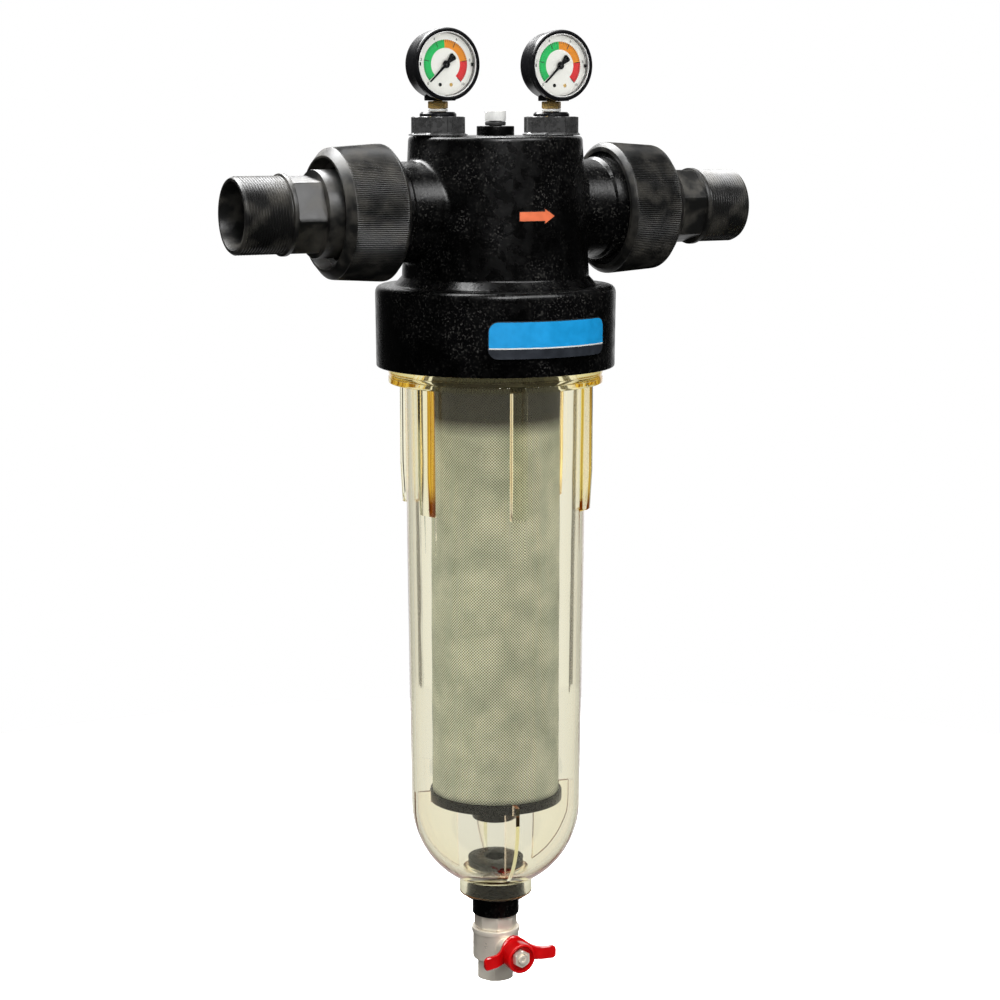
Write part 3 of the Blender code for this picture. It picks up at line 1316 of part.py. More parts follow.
def make_valve_body():
    """The valve's body, its screwed-in upper end and the two seats round the ball."""
    chamber_r = SEAT_R + SEAT_GAP * 1.5
    seat_foot = VALVE_Z - SEAT_FAR - SEAT_GAP
    thread_r = VALVE_END_THREAD_R + SEAT_GAP * 1.5
    end_foot = VALVE_Z + SEAT_FAR + SEAT_GAP
    mouth_top = VALVE_FOOT_Z + VALVE_MOUTH_DEPTH
    waist_r = VALVE_HEX_FLATS / 2 - RUN_GAP
    body = turned(
        "valve_body",
        [
            (0.0, VALVE_RIM_TOP_Z),
            (VALVE_RIM_R, VALVE_RIM_TOP_Z),
            (VALVE_RIM_R, VALVE_RIM_TOP_Z - VALVE_RIM_HEIGHT),
            (VALVE_BODY_R, VALVE_RIM_TOP_Z - VALVE_RIM_HEIGHT - RUN_GAP),
            (VALVE_BODY_R, VALVE_WAIST_Z + RUN_GAP),
            (waist_r, VALVE_WAIST_Z - 2 * RUN_GAP),
            (waist_r, VALVE_FOOT_Z + RUN_GAP),
            (0.0, VALVE_FOOT_Z + RUN_GAP),
        ],
        PIPE_SIDES,
        nickel(),
    )
    hex_top = VALVE_WAIST_Z - 3 * RUN_GAP
    join(body, prism("valve_hex_shape", polygon(NUT_SIDES, VALVE_HEX_FLATS), VALVE_FOOT_Z, hex_top))
    place = (0.0, 0.0, VALVE_Z)
    boss = [(0.0, SEAT_R), (VALVE_BOSS_R, SEAT_R), (VALVE_BOSS_R, VALVE_BOSS_END), (0.0, VALVE_BOSS_END)]
    join(body, turned("valve_boss_shape", boss, SMALL_SIDES, None, place, FACING_FRONT))
    hollow = [
        (0.0, VALVE_RIM_TOP_Z + RUN_GAP),
        (thread_r + 2 * RUN_GAP, VALVE_RIM_TOP_Z + RUN_GAP),
        (thread_r, VALVE_RIM_TOP_Z - RUN_GAP),
        (thread_r, end_foot - RUN_GAP),
        (chamber_r, end_foot - RUN_GAP),
        (chamber_r, seat_foot),
        (SEAT_BORE_R, seat_foot),
        (SEAT_BORE_R, mouth_top),
        (VALVE_MOUTH_R, mouth_top),
        (VALVE_MOUTH_R, VALVE_FOOT_Z + VALVE_MOUTH_FLARE),
        (VALVE_MOUTH_R + 2 * VALVE_MOUTH_FLARE, VALVE_FOOT_Z - VALVE_MOUTH_FLARE),
        (0.0, VALVE_FOOT_Z - VALVE_MOUTH_FLARE),
    ]
    cut(body, turned("valve_hollow", hollow, PIPE_SIDES))
    hole_end = VALVE_BOSS_END + RUN_GAP
    hole = [(0.0, BALL_BORE_R), (STEM_HOLE_R, BALL_BORE_R), (STEM_HOLE_R, hole_end), (0.0, hole_end)]
    cut(body, turned("stem_hole", hole, SMALL_SIDES, None, place, FACING_FRONT))
    make_valve_end(end_foot)
    for name, sign in (("upper_ball_seat", 1), ("lower_ball_seat", -1)):
        profile = [
            (SEAT_BORE_R, sign * SEAT_FAR),
            (SEAT_R, sign * SEAT_FAR),
            (SEAT_R, sign * SEAT_NEAR),
            (SEAT_BORE_R + SEAT_FACE_WIDTH, sign * SEAT_NEAR),
            (SEAT_BORE_R, sign * seat_height(SEAT_BORE_R)),
        ]
        turned(name, profile, SMALL_SIDES, white_plastic(), place)


def make_valve_end(end_foot):
    neck_foot = VALVE_RIM_TOP_Z + SEAT_GAP
    bore_r = ADAPTER_TAIL_R + SEAT_GAP * 1.5
    shelf = ADAPTER_BODY_FOOT_Z - ADAPTER_TAIL_LENGTH - RUN_GAP
    outline = polygon(VALVE_END_SIDES, VALVE_END_FLATS, math.pi / VALVE_END_SIDES)
    end = prism("valve_end", outline, neck_foot, VALVE_END_TOP_Z, nickel())
    thread_top = neck_foot + RUN_GAP
    join(end, ring("valve_end_thread_shape", 0.0, VALVE_END_THREAD_R, end_foot, thread_top, PIPE_SIDES))
    hollow = [
        (0.0, VALVE_END_TOP_Z + RUN_GAP),
        (bore_r, VALVE_END_TOP_Z + RUN_GAP),
        (bore_r, shelf),
        (SEAT_BORE_R, shelf),
        (SEAT_BORE_R, end_foot - RUN_GAP),
        (0.0, end_foot - RUN_GAP),
    ]
    cut(end, turned("valve_end_bore", hollow, PIPE_SIDES))


def make_ball():
    """The ball at rest with its bore across the flow, which shuts the valve."""
    place = (0.0, 0.0, VALVE_Z)
    mesh = bmesh.new()
    bmesh.ops.create_uvsphere(mesh, u_segments=SMALL_SIDES, v_segments=BALL_RINGS, radius=BALL_R * MM)
    ball = add_object("valve_ball", mesh, nickel(), place)
    reach = BALL_R + RUN_GAP
    cut(ball, ring("ball_bore", 0.0, BALL_BORE_R, -reach, reach, SMALL_SIDES, None, place, TOWARDS_OUTLET))
    half = TANG_THICKNESS / 2 + SMALL_RUN_GAP
    wide = STEM_R + SMALL_RUN_GAP
    slot = [(-wide, -half), (wide, -half), (wide, half), (-wide, half)]
    cut(ball, prism("ball_slot", slot, BALL_R - BALL_SLOT_DEPTH, reach, None, place, FACING_FRONT))


def make_stem():
    """The valve's stem: tang in the ball, shank through the boss and stud for the nut."""
    place = (0.0, 0.0, VALVE_Z)
    shank_start = BALL_R + SEAT_GAP
    groove_r = STEM_R - STEM_RING_DEPTH
    ring_end = STEM_RING_AT + STEM_RING_WIDTH
    hub_seat = HUB_BACK + HUB_RECESS_DEPTH
    stem = turned(
        "valve_stem",
        [
            (0.0, shank_start),
            (STEM_R, shank_start),
            (STEM_R, STEM_RING_AT),
            (groove_r, STEM_RING_AT),
            (groove_r, ring_end),
            (STEM_R, ring_end),
            (STEM_R, hub_seat),
            (STUD_R, hub_seat),
            (STUD_R, STEM_END),
            (0.0, STEM_END),
        ],
        SMALL_SIDES,
        nickel(),
        place,
        FACING_FRONT,
    )
    half = TANG_THICKNESS / 2
    wide = STEM_R - SMALL_RUN_GAP
    tang = [(-wide, -half), (wide, -half), (wide, half), (-wide, half)]
    tang_low = BALL_R - BALL_SLOT_DEPTH + SEAT_GAP
    join(stem, prism("stem_tang_shape", tang, tang_low, shank_start + RUN_GAP, None, place, FACING_FRONT))
    slack = SEAT_GAP / 2
    section = seal_profile(groove_r + slack, STEM_R + slack, STEM_RING_AT + slack, ring_end - slack)
    turned("stem_oring", section, SMALL_SIDES, black_rubber(), place, FACING_FRONT)


def wing_sections():
    """Upright slices of the butterfly, from one wing tip over the crest to the other."""
    half = WING_HEIGHT / 2
    back = HUB_BACK + WING_THICKNESS / 2
    tip = half - WING_TIP_ROUND
    one_side = [
        (WING_SPAN, WING_TIP_FORWARD, tip, tip),
        (WING_SPAN - WING_TIP_ROUND, WING_TIP_FORWARD, half, half),
        (WING_PAD_X, WING_TIP_FORWARD - WING_PAD_SLOPE, half, half),
        (WING_BEND_X, back + WING_BEND_FORWARD, half, half + WING_PAD_SLOPE),
        (WING_ROOT_X, back, WING_WEB_DROP, WING_ROOT_RISE),
        (WING_CREST_X, back, WING_WEB_DROP, WING_CREST),
    ]
    slices = [(-x, forward, low, high) for x, forward, low, high in one_side]
    slices += list(reversed(one_side))
    sections = []
    for x, forward, low, high in slices:
        near = forward - WING_THICKNESS / 2
        far = forward + WING_THICKNESS / 2
        sections.append([(x, -low, near), (x, high, near), (x, high, far), (x, -low, far)])
    return sections


def make_handle():
    place = (0.0, 0.0, VALVE_Z)
    handle = ring(
        "drain_handle", 0.0, HUB_R, HUB_BACK, HUB_FRONT, PIPE_SIDES, red_lacquer(), place, FACING_FRONT
    )
    join(handle, add_object("wing_shape", lofted_mesh(wing_sections()), None, place, FACING_FRONT))
    seat = HUB_BACK + HUB_RECESS_DEPTH + SEAT_GAP
    hollow = [
        (0.0, HUB_BACK - RUN_GAP),
        (STEM_R + SMALL_RUN_GAP, HUB_BACK - RUN_GAP),
        (STEM_R + SMALL_RUN_GAP, seat),
        (STUD_R + SMALL_RUN_GAP, seat),
        (STUD_R + SMALL_RUN_GAP, HUB_FLOOR),
        (HUB_RECESS_R, HUB_FLOOR),
        (HUB_RECESS_R, HUB_FRONT + RUN_GAP),
        (0.0, HUB_FRONT + RUN_GAP),
    ]
    cut(handle, turned("hub_hollow", hollow, SMALL_SIDES, None, place, FACING_FRONT))
    nut_low = HUB_FLOOR + SEAT_GAP
    nut = prism(
        "handle_nut",
        polygon(NUT_SIDES, HANDLE_NUT_FLATS, math.pi / NUT_SIDES),
        nut_low,
        nut_low + HANDLE_NUT_HEIGHT,
        nickel(),
        place,
        FACING_FRONT,
    )
    hole_r = STUD_R + SMALL_RUN_GAP
    hole_low = nut_low - RUN_GAP
    hole_high = nut_low + HANDLE_NUT_HEIGHT + RUN_GAP
    hole = [(0.0, hole_low), (hole_r, hole_low), (hole_r, hole_high), (0.0, hole_high)]
    cut(nut, turned("handle_nut_hole", hole, SMALL_SIDES, None, place, FACING_FRONT))


def build():
    clear_scene()
    make_head()
    make_arrow()
    make_badge()
    make_union("inlet", TOWARDS_INLET, INLET_HEX_TURN)
    make_union("outlet", TOWARDS_OUTLET, OUTLET_HEX_TURN)
    make_gauge("inlet", -GAUGE_X, INLET_CAP_TURN)
    make_gauge("outlet", GAUGE_X, OUTLET_CAP_TURN)
    make_vent()
    make_bowl()
    make_element()
    make_drain_adapter()
    make_valve_body()
    make_ball()
    make_stem()
    make_handle()


build()
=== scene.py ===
import math

import bmesh
import bpy
from mathutils import Matrix, Vector


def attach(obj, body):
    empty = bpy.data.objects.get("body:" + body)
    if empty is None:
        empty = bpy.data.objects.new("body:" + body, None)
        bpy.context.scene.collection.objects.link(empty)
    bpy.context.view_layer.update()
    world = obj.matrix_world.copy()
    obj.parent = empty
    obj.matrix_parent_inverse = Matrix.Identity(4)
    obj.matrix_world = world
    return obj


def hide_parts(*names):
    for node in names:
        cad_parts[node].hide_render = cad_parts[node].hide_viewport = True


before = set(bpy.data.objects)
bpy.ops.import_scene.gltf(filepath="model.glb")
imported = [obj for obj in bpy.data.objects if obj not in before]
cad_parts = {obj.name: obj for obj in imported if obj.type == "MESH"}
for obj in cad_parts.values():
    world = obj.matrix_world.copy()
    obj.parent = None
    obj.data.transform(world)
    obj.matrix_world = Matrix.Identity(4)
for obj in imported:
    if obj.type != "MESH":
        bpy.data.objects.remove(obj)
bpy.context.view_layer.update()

MM = 0.001
ORIGIN = (0.0, 0.0, 0.0)
EVEN = (1.0, 1.0, 1.0)
WHITE = (1.0, 1.0, 1.0)
FRONT = (math.pi / 2, 0.0, 0.0)
LEFT = (0.0, -math.pi / 2, 0.0)
RIGHT = (0.0, math.pi / 2, 0.0)
UPRIGHT = (0.0, 0.0, 0.0)

# Sizes in millimetres that more than one piece uses
SLEEVE_R = 52.6
STUB_R = 39.4
GAUGE_X = 51.0
GAUGE_Z = 114.0

# Looks
NOISE_LOW = 0.3
NOISE_HIGH = 0.7
THREAD_WAVES = math.tau / 0.0024
CAUGHT_DEPTH = 6.0
LIGHT_BEHIND_PLASTIC = 1.4
LOOKS = {}


# Node trees, with patterns in object space
class Tree:
    def __init__(self, owner):
        owner.use_nodes = True
        self.tree = owner.node_tree

    def feed(self, value, socket):
        """Wires an output to a socket, or sets the socket to a number or colour."""
        if isinstance(value, bpy.types.NodeSocket):
            self.tree.links.new(value, socket)
        else:
            socket.default_value = value

    def node(self, kind, sockets=None, **settings):
        """A new node: first its settings, then its sockets by name or number."""
        made = self.tree.nodes.new(kind)
        for name, setting in settings.items():
            setattr(made, name, setting)
        for name, value in (sockets or {}).items():
            self.feed(value, made.inputs[name])
        return made

    def compute(self, operation, first, second):
        """One step of arithmetic on outputs or numbers."""
        return self.node("ShaderNodeMath", {0: first, 1: second}, operation=operation).outputs["Value"]

    def span(self, value, start, end, low=0.0, high=1.0, **settings):
        """A value between start and end, brought to low and high."""
        sockets = {"Value": value, "From Min": start, "From Max": end, "To Min": low, "To Max": high}
        return self.node("ShaderNodeMapRange", sockets, **settings).outputs["Result"]

    def choose(self, factor, first, second, **settings):
        sockets = {"Factor": factor, "A": first, "B": second}
        return self.node("ShaderNodeMix", sockets, **settings).outputs["Result"]


class Finish(Tree):
    """One Principled shader, kept in LOOKS."""

    def __init__(self, name, colour, roughness, metallic=0.0):
        LOOKS[name] = bpy.data.materials.new(name + "_look")
        super().__init__(LOOKS[name])
        self.shader = self.tree.nodes["Principled BSDF"]
        self.colour = colour
        self.roughness = roughness
        self.put("Base Color", (*colour, 1.0))
        self.put("Roughness", roughness)
        self.put("Metallic", metallic)

    def put(self, name, value):
        self.feed(value, self.shader.inputs[name])

    def place(self):
        return self.node("ShaderNodeTexCoord").outputs["Object"]

    def axes(self):
        return self.node("ShaderNodeSeparateXYZ", {"Vector": self.place()}).outputs

    def noise(self, scale, detail=3.0, stretch=EVEN):
        mapping = self.node("ShaderNodeMapping", {"Vector": self.place(), "Scale": stretch})
        sockets = {"Vector": mapping.outputs["Vector"], "Scale": scale, "Detail": detail}
        return self.node("ShaderNodeTexNoise", sockets).outputs["Fac"]

    def blend(self, first, second):
        """Two colours multiplied."""
        return self.choose(1.0, first, second, data_type="RGBA", blend_type="MULTIPLY")

    def ramp(self, factor, low, high, dark, light):
        """Dark up to low, light from high on."""
        ramp = self.node("ShaderNodeValToRGB", {"Fac": factor})
        for i, (position, colour) in enumerate(((low, dark), (high, light))):
            ramp.color_ramp.elements[i].position = position
            ramp.color_ramp.elements[i].color = (*colour, 1.0)
        return ramp.outputs["Color"]

    def spread(self, noise, low, high):
        return self.span(noise, NOISE_LOW, NOISE_HIGH, low, high)

    def mottle(self, scale, amount, rough=0.0, stretch=EVEN):
        """Colour and roughness that vary a little over the surface."""
        factor = self.noise(scale, 4.0, stretch)
        dark = tuple(part * (1 - amount) for part in self.colour)
        light = tuple(min(part * (1 + amount), 1.0) for part in self.colour)
        self.put("Base Color", self.ramp(factor, NOISE_LOW, NOISE_HIGH, dark, light))
        if rough:
            self.put("Roughness", self.spread(factor, self.roughness - rough, self.roughness + rough))

    def bump(self, height, strength, distance):
        sockets = {"Height": height, "Strength": strength, "Distance": distance}
        self.put("Normal", self.node("ShaderNodeBump", sockets).outputs["Normal"])


def make_finishes():
    black = Finish("black_moulding", (0.0035, 0.0035, 0.0038), 0.26)
    black.put("Specular IOR Level", 0.21)
    specks = black.ramp(black.noise(620.0, 5.0), 0.56, 0.74, (0.0008, 0.0008, 0.0009), (0.036, 0.035, 0.032))
    patches = black.ramp(black.noise(24.0, 4.0), 0.4, 0.6, (0.06, 0.06, 0.06), WHITE)
    black.put("Base Color", black.blend(specks, patches))
    black.put("Roughness", black.spread(black.noise(120.0, 4.0), 0.2, 0.36))
    black.bump(black.noise(480.0, 3.0), 0.3, 0.0004)
    ribbed = Finish("black_ribbed", (0.008, 0.008, 0.0075), 0.4)
    ribbed.put("Specular IOR Level", 0.34)
    worn = ribbed.noise(60.0, 4.0)
    ribbed.put("Base Color", ribbed.ramp(worn, 0.45, 0.7, (0.004, 0.004, 0.0038), (0.028, 0.026, 0.022)))
    ribbed.put("Roughness", ribbed.spread(worn, 0.32, 0.5))
    ribbed.bump(ribbed.noise(160.0, 3.0), 0.25, 0.0006)
    satin = Finish("black_satin", (0.02, 0.02, 0.02), 0.28)
    satin.mottle(260.0, 0.35, 0.06)
    satin.bump(satin.noise(420.0, 2.0), 0.1, 0.0003)
    enamel = Finish("black_enamel", (0.003, 0.003, 0.0034), 0.24)
    enamel.mottle(120.0, 0.4, 0.05)
    enamel.put("Specular IOR Level", 0.2)
    enamel.bump(enamel.noise(260.0, 2.0), 0.08, 0.0003)
    Finish("brass", (0.75, 0.5, 0.17), 0.27, 0.8).mottle(90.0, 0.16, 0.09, (1.0, 1.0, 6.0))
    nickel = Finish("nickel", (0.95, 0.85, 0.73), 0.33, 0.62)
    nickel.mottle(60.0, 0.1, 0.07)
    nickel.bump(nickel.noise(300.0, 2.0), 0.06, 0.0002)
    red = Finish("red_lacquer", (0.45, 0.002, 0.003), 0.2)
    red.mottle(70.0, 0.14, 0.05)
    red.put("Coat Weight", 0.5)
    red.put("Coat Roughness", 0.08)
    red.bump(red.noise(120.0, 2.0), 0.15, 0.0006)
    for name, colour, roughness, mottling in (
        ("black_rubber", (0.008, 0.008, 0.008), 0.6, (300.0, 0.4, 0.08)),
        ("white_plastic", (0.4, 0.4, 0.388), 0.38, (90.0, 0.035, 0.05)),
        ("dial_white", (0.87, 0.85, 0.79), 0.5, (60.0, 0.02)),
        ("pale_plastic", (0.6, 0.61, 0.54), 0.45, (80.0, 0.08)),
        ("orange_print", (0.4, 0.085, 0.03), 0.5, (200.0, 0.12, 0.06)),
        ("blue_print", (0.0, 0.165, 0.37), 0.42, (150.0, 0.1, 0.05)),
        ("dark_print", (0.012, 0.014, 0.018), 0.35, (150.0, 0.3, 0.05)),
        ("green_print", (0.0, 0.5, 0.1), 0.45, (220.0, 0.08)),
        ("amber_print", (0.78, 0.25, 0.0), 0.45, (220.0, 0.08)),
        ("red_print", (0.7, 0.012, 0.016), 0.45, (220.0, 0.08)),
    ):
        Finish(name, colour, roughness).mottle(*mottling)


def make_window():
    glass = Finish("clear_window", (0.97, 0.98, 0.98), 0.02)
    glass.put("Transmission Weight", 1.0)
    glass.put("IOR", 1.16)
    glass.put("Roughness", glass.spread(glass.noise(30.0), 0.0, 0.04))


def make_amber():
    """Clear moulded plastic, faintly yellow, with a painted golden glow (emission) on rays caught in its
    walls.
    """
    amber = Finish("clear_amber", (1.0, 0.995, 0.965), 0.02)
    amber.put("Transmission Weight", 1.0)
    amber.put("IOR", 1.5)
    amber.put("Roughness", amber.spread(amber.noise(14.0), 0.0, 0.05))
    amber.bump(amber.noise(22.0, 2.0, (1.0, 1.0, 0.4)), 0.08, 0.0015)
    absorb = amber.node("ShaderNodeVolumeAbsorption", {"Color": (0.985, 0.93, 0.5, 1.0), "Density": 36.0})
    amber.feed(absorb.outputs["Volume"], amber.tree.nodes["Material Output"].inputs["Volume"])
    # Painted glow: golden emission in upright streaks, darker and redder below the pads, only on rays at the
    # caught depth
    upright = amber.noise(260.0, 2.0, (1.0, 1.0, 0.02))
    painted_glow_streaks = amber.ramp(upright, 0.4, 0.6, (0.3, 0.14, 0.02), (0.85, 0.6, 0.17))
    foot = amber.ramp(amber.span(amber.axes()["Z"], -0.238, -0.225), 0.0, 1.0, (0.3, 0.12, 0.05), WHITE)
    amber.put("Emission Color", amber.blend(painted_glow_streaks, foot))
    depth = amber.node("ShaderNodeLightPath").outputs["Ray Depth"]
    reached = [amber.compute("GREATER_THAN", depth, CAUGHT_DEPTH + half) for half in (-0.5, 0.5)]
    amber.put("Emission Strength", amber.compute("SUBTRACT", *reached))


def make_weave():
    """Woven cloth: slanting threads over a mottled grey, with painted shade over the top band where the collar
    is behind it.
    """
    cloth = Finish("woven_mesh", (0.3, 0.3, 0.27), 0.75)
    axes = cloth.axes()
    up = axes["Z"]
    around = cloth.compute("MULTIPLY", cloth.compute("ARCTAN2", axes["Y"], axes["X"]), SLEEVE_R * MM)
    waves = []
    for slant in ("ADD", "SUBTRACT"):
        across = cloth.compute("MULTIPLY", cloth.compute(slant, around, up), THREAD_WAVES)
        waves.append(cloth.compute("SINE", across, 0.0))
    cells = cloth.compute("ADD", cloth.compute("MULTIPLY", cloth.compute("ADD", *waves), 0.25), 0.5)
    threads = cloth.ramp(cells, 0.18, 0.82, (0.12, 0.125, 0.1), (0.9, 0.93, 0.82))
    patches = cloth.ramp(cloth.noise(34.0, 6.0), 0.32, 0.66, (0.62, 0.65, 0.62), (1.0, 1.0, 0.98))
    # Painted shade: the cloth is made nearly black from -164 mm up to its top, over the collar under the head
    behind = cloth.ramp(cloth.span(up, -0.177, -0.164), 0.0, 1.0, WHITE, (0.06, 0.056, 0.045))
    cloth.put("Base Color", cloth.blend(cloth.blend(threads, patches), behind))
    cloth.bump(cells, 0.5, 0.0004)


# Shapes
TINY = 0.01
ROUNDING = 0.001
ALMOST_STRAIGHT = math.radians(86)
EDGE_SHARE = 0.48
SMOOTH_ANGLE = 34.0
WELD = 1e-6
SUNK = 0.05


def arc(start, corner, end, steps):
    """Points on a curve from start to end that bends towards the corner."""
    for step in range(steps + 1):
        t = step / steps
        yield start * (1 - t) ** 2 + corner * 2 * t * (1 - t) + end * t * t


def soften(profile, default):
    """A closed outline of (r, z[, fillet]) points with its corners rounded."""
    rounded = []
    count = len(profile)
    for i, point in enumerate(profile):
        fillet = point[2] if len(point) > 2 else default
        here = Vector(point[:2])
        before = Vector(profile[i - 1][:2]) - here
        after = Vector(profile[(i + 1) % count][:2]) - here
        if fillet <= 0 or min(here.x, before.length, after.length) < TINY:
            rounded.append(here)
            continue
        half = before.angle(after) / 2
        if half > ALMOST_STRAIGHT:
            rounded.append(here)
            continue
        reach = min(fillet / math.tan(half), before.length * EDGE_SHARE, after.length * EDGE_SHARE)
        start = here + before.normalized() * reach
        end = here + after.normalized() * reach
        rounded.extend(arc(start, here, end, 2 if fillet < 0.8 else 5))
    return [(point.x, point.y) for point in rounded]


def vert(mesh, x, y, z):
    """A vertex at a place in millimetres."""
    return mesh.verts.new((x * MM, y * MM, z * MM))


def skin(mesh, loops, capped=True):
    """Faces between loops of vertices, with both ends closed if capped."""
    for before, after in zip(loops, loops[1:]):
        for i in range(len(before)):
            following = (i + 1) % len(before)
            mesh.faces.new((before[i], before[following], after[following], after[i]))
    if capped:
        mesh.faces.new(loops[0])
        mesh.faces.new(loops[-1])


def slab(mesh, corners, low, high):
    """A flat outline raised from low to high."""
    floor = mesh.faces.new([vert(mesh, x, y, low) for x, y in corners])
    lifted = bmesh.ops.extrude_face_region(mesh, geom=[floor])["geom"]
    top = [item for item in lifted if isinstance(item, bmesh.types.BMVert)]
    bmesh.ops.translate(mesh, verts=top, vec=(0.0, 0.0, (high - low) * MM))


def shade(data, smooth):
    data.shade_smooth()
    data.set_sharp_from_angle(angle=math.radians(smooth))


def finish_object(name, mesh, look, place=ORIGIN, turn=UPRIGHT, smooth=SMOOTH_ANGLE):
    bmesh.ops.recalc_face_normals(mesh, faces=mesh.faces)
    data = bpy.data.meshes.new(name)
    mesh.to_mesh(data)
    mesh.free()
    shade(data, smooth)
    obj = bpy.data.objects.new(name, data)
    bpy.context.scene.collection.objects.link(obj)
    obj.location = Vector(place) * MM
    obj.rotation_euler = turn
    if look:
        data.materials.append(LOOKS[look])
    return obj


def lathe_mesh(points, angles, relief=None):
    """An outline turned through the listed angles; relief(r, z, angle) gives the true radius."""
    mesh = bmesh.new()
    rings = []
    for r, z in points:
        if r < 0.005:
            rings.append([vert(mesh, 0.0, 0.0, z)])
            continue
        ring = []
        for angle in angles:
            true_r = relief(r, z, angle) if relief else r
            ring.append(vert(mesh, true_r * math.cos(angle), true_r * math.sin(angle), z))
        rings.append(ring)
    sides = len(angles)
    for i, ring in enumerate(rings):
        other = rings[(i + 1) % len(rings)]
        if len(ring) == 1 and len(other) == 1:
            continue
        for side in range(sides):
            following = (side + 1) % sides
            if len(ring) == 1:
                mesh.faces.new((ring[0], other[following], other[side]))
            elif len(other) == 1:
                mesh.faces.new((ring[side], ring[following], other[0]))
            else:
                mesh.faces.new((ring[side], ring[following], other[following], other[side]))
    return mesh


def even(sides):
    return [math.tau * step / sides for step in range(sides)]


def lathe(
    name, profile, look, place=ORIGIN, turn=UPRIGHT, sides=96, fillet=0.3, relief=None, angles=None
):
    points = soften(profile, fillet)
    return finish_object(name, lathe_mesh(points, angles or even(sides), relief), look, place, turn)


def box(left, right, low, high):
    """Four corners: a rectangle, or a ring's section from its inner to its outer radius."""
    return [(left, low), (right, low), (right, high), (left, high)]


def prism(name, outline, low, high, look, place=ORIGIN, turn=UPRIGHT, round_off=0.0):
    mesh = bmesh.new()
    slab(mesh, outline, low, high)
    if round_off:
        edges = mesh.edges[:]
        bmesh.ops.bevel(mesh, geom=edges, offset=round_off * MM, segments=2, affect="EDGES", profile=0.5)
    return finish_object(name, mesh, look, place, turn)


def cut(body, tool, operation="DIFFERENCE"):
    modifier = body.modifiers.new(tool.name, "BOOLEAN")
    modifier.operation = operation
    modifier.object = tool


def join(body, tool):
    cut(body, tool, "UNION")


def bake(body, smooth=SMOOTH_ANGLE):
    """Turns an object with its Booleans into one plain mesh and drops the helpers."""
    tools = [modifier.object for modifier in body.modifiers]
    graph = bpy.context.evaluated_depsgraph_get()
    data = bpy.data.meshes.new_from_object(body.evaluated_get(graph))
    body.modifiers.clear()
    body.data = data
    shade(data, smooth)
    for tool in tools:
        bpy.data.objects.remove(tool, do_unlink=True)


def settle(obj, body, slot_name, *nodes):
    """Puts a piece on its body and hides the CAD pieces that it stands for; slot_name is not used."""
    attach(obj, body)
    if nodes:
        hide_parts(*nodes)
    return obj


def polygon_radius(count, flats, turn, rounding):
    """A regular outline as a radius by angle, with slightly rounded corners."""
    def radius(angle):
        total = 0.0
        for side in range(count):
            share = math.cos(angle - turn - math.pi / count - math.tau * side / count)
            if share > 0:
                total += share**rounding
        return flats / 2 * total ** (-1.0 / rounding)
    return radius

def turned(name, profile, look, body, slot_name, node=None, place=ORIGIN, turn=UPRIGHT, **shape):
    """A turned piece, settled on its body."""
    obj = lathe(name, profile, look, place, turn, **shape)
    return settle(obj, body, slot_name, *([node] if node else []))


def chamfered(outline, inner_r, low, high, end_r, slope):
    """A relief with a many-sided outline outside inner_r, chamfered at both heights."""
    def relief(r, z, angle):
        if r > inner_r and low - ROUNDING < z < high + ROUNDING:
            return min(outline(angle), end_r + min(z - low, high - z) * slope)
        return r
    return relief


# Head
HEAD_TOP = 59.0
HEAD_TOP_R = 69.4
HEAD_FLARE = 5.9
FLARE_TOP = 55.0
FLARE_FOOT = -52.0


def head_radius(height):
    return HEAD_TOP_R + HEAD_FLARE * (FLARE_TOP - height) / (FLARE_TOP - FLARE_FOOT)


def make_head():
    profile = [
        (0.0, HEAD_TOP), (HEAD_TOP_R, HEAD_TOP, 4.4), (75.3, FLARE_FOOT, 3.0), (81.8, -59.0, 3.0),
        (97.0, -59.0, 6.5), (96.4, -124.4, 1.6), (0.0, -124.4),
    ]
    head = lathe("head", profile, "black_moulding", sides=128)
    stub = [
        (0.0, 36.0), (STUB_R, 36.0), (STUB_R, 89.0, 1.0), (41.6, 91.2, 1.0), (41.6, 100.0), (45.2, 100.0),
        (45.2, 118.0), (0.0, 118.0),
    ]
    for turn in (LEFT, RIGHT):
        join(head, lathe("stub", stub, None, turn=turn, sides=112))
    cavity = [
        (0.0, 49.0), (59.4, 49.0, 4.0), (60.4, -65.0, 3.0), (84.4, -71.0), (84.4, -126.0), (0.0, -126.0),
    ]
    cut(head, lathe("cavity", cavity, None, sides=128))
    join(head, lathe("socket", box(0.0, 35.5, -78.0, 32.0), None, sides=80))
    join(head, lathe("tube", box(0.0, 31.0, 0.0, 66.0), None, turn=RIGHT, sides=72))
    for x in (-GAUGE_X, GAUGE_X):
        join(head, lathe("boss", box(0.0, 18.0, 54.0, 66.0), None, (x, 0.0, 0.0), sides=48))
    for turn, start in ((LEFT, 36.6), (RIGHT, -14.4)):
        cut(head, lathe("bore", box(0.0, 26.0, start, 118.6), None, turn=turn, sides=64))
    cut(head, lathe("socket_bore", box(0.0, 30.0, -79.0, 13.0), None, sides=68))
    bake(head)
    settle(head, "head", "black_moulding", "head_housing")
    for word, sign in (("left", -1.0), ("right", 1.0)):
        settle(make_stub_fillet(word + "_stub_fillet", sign), "head", "black_moulding")


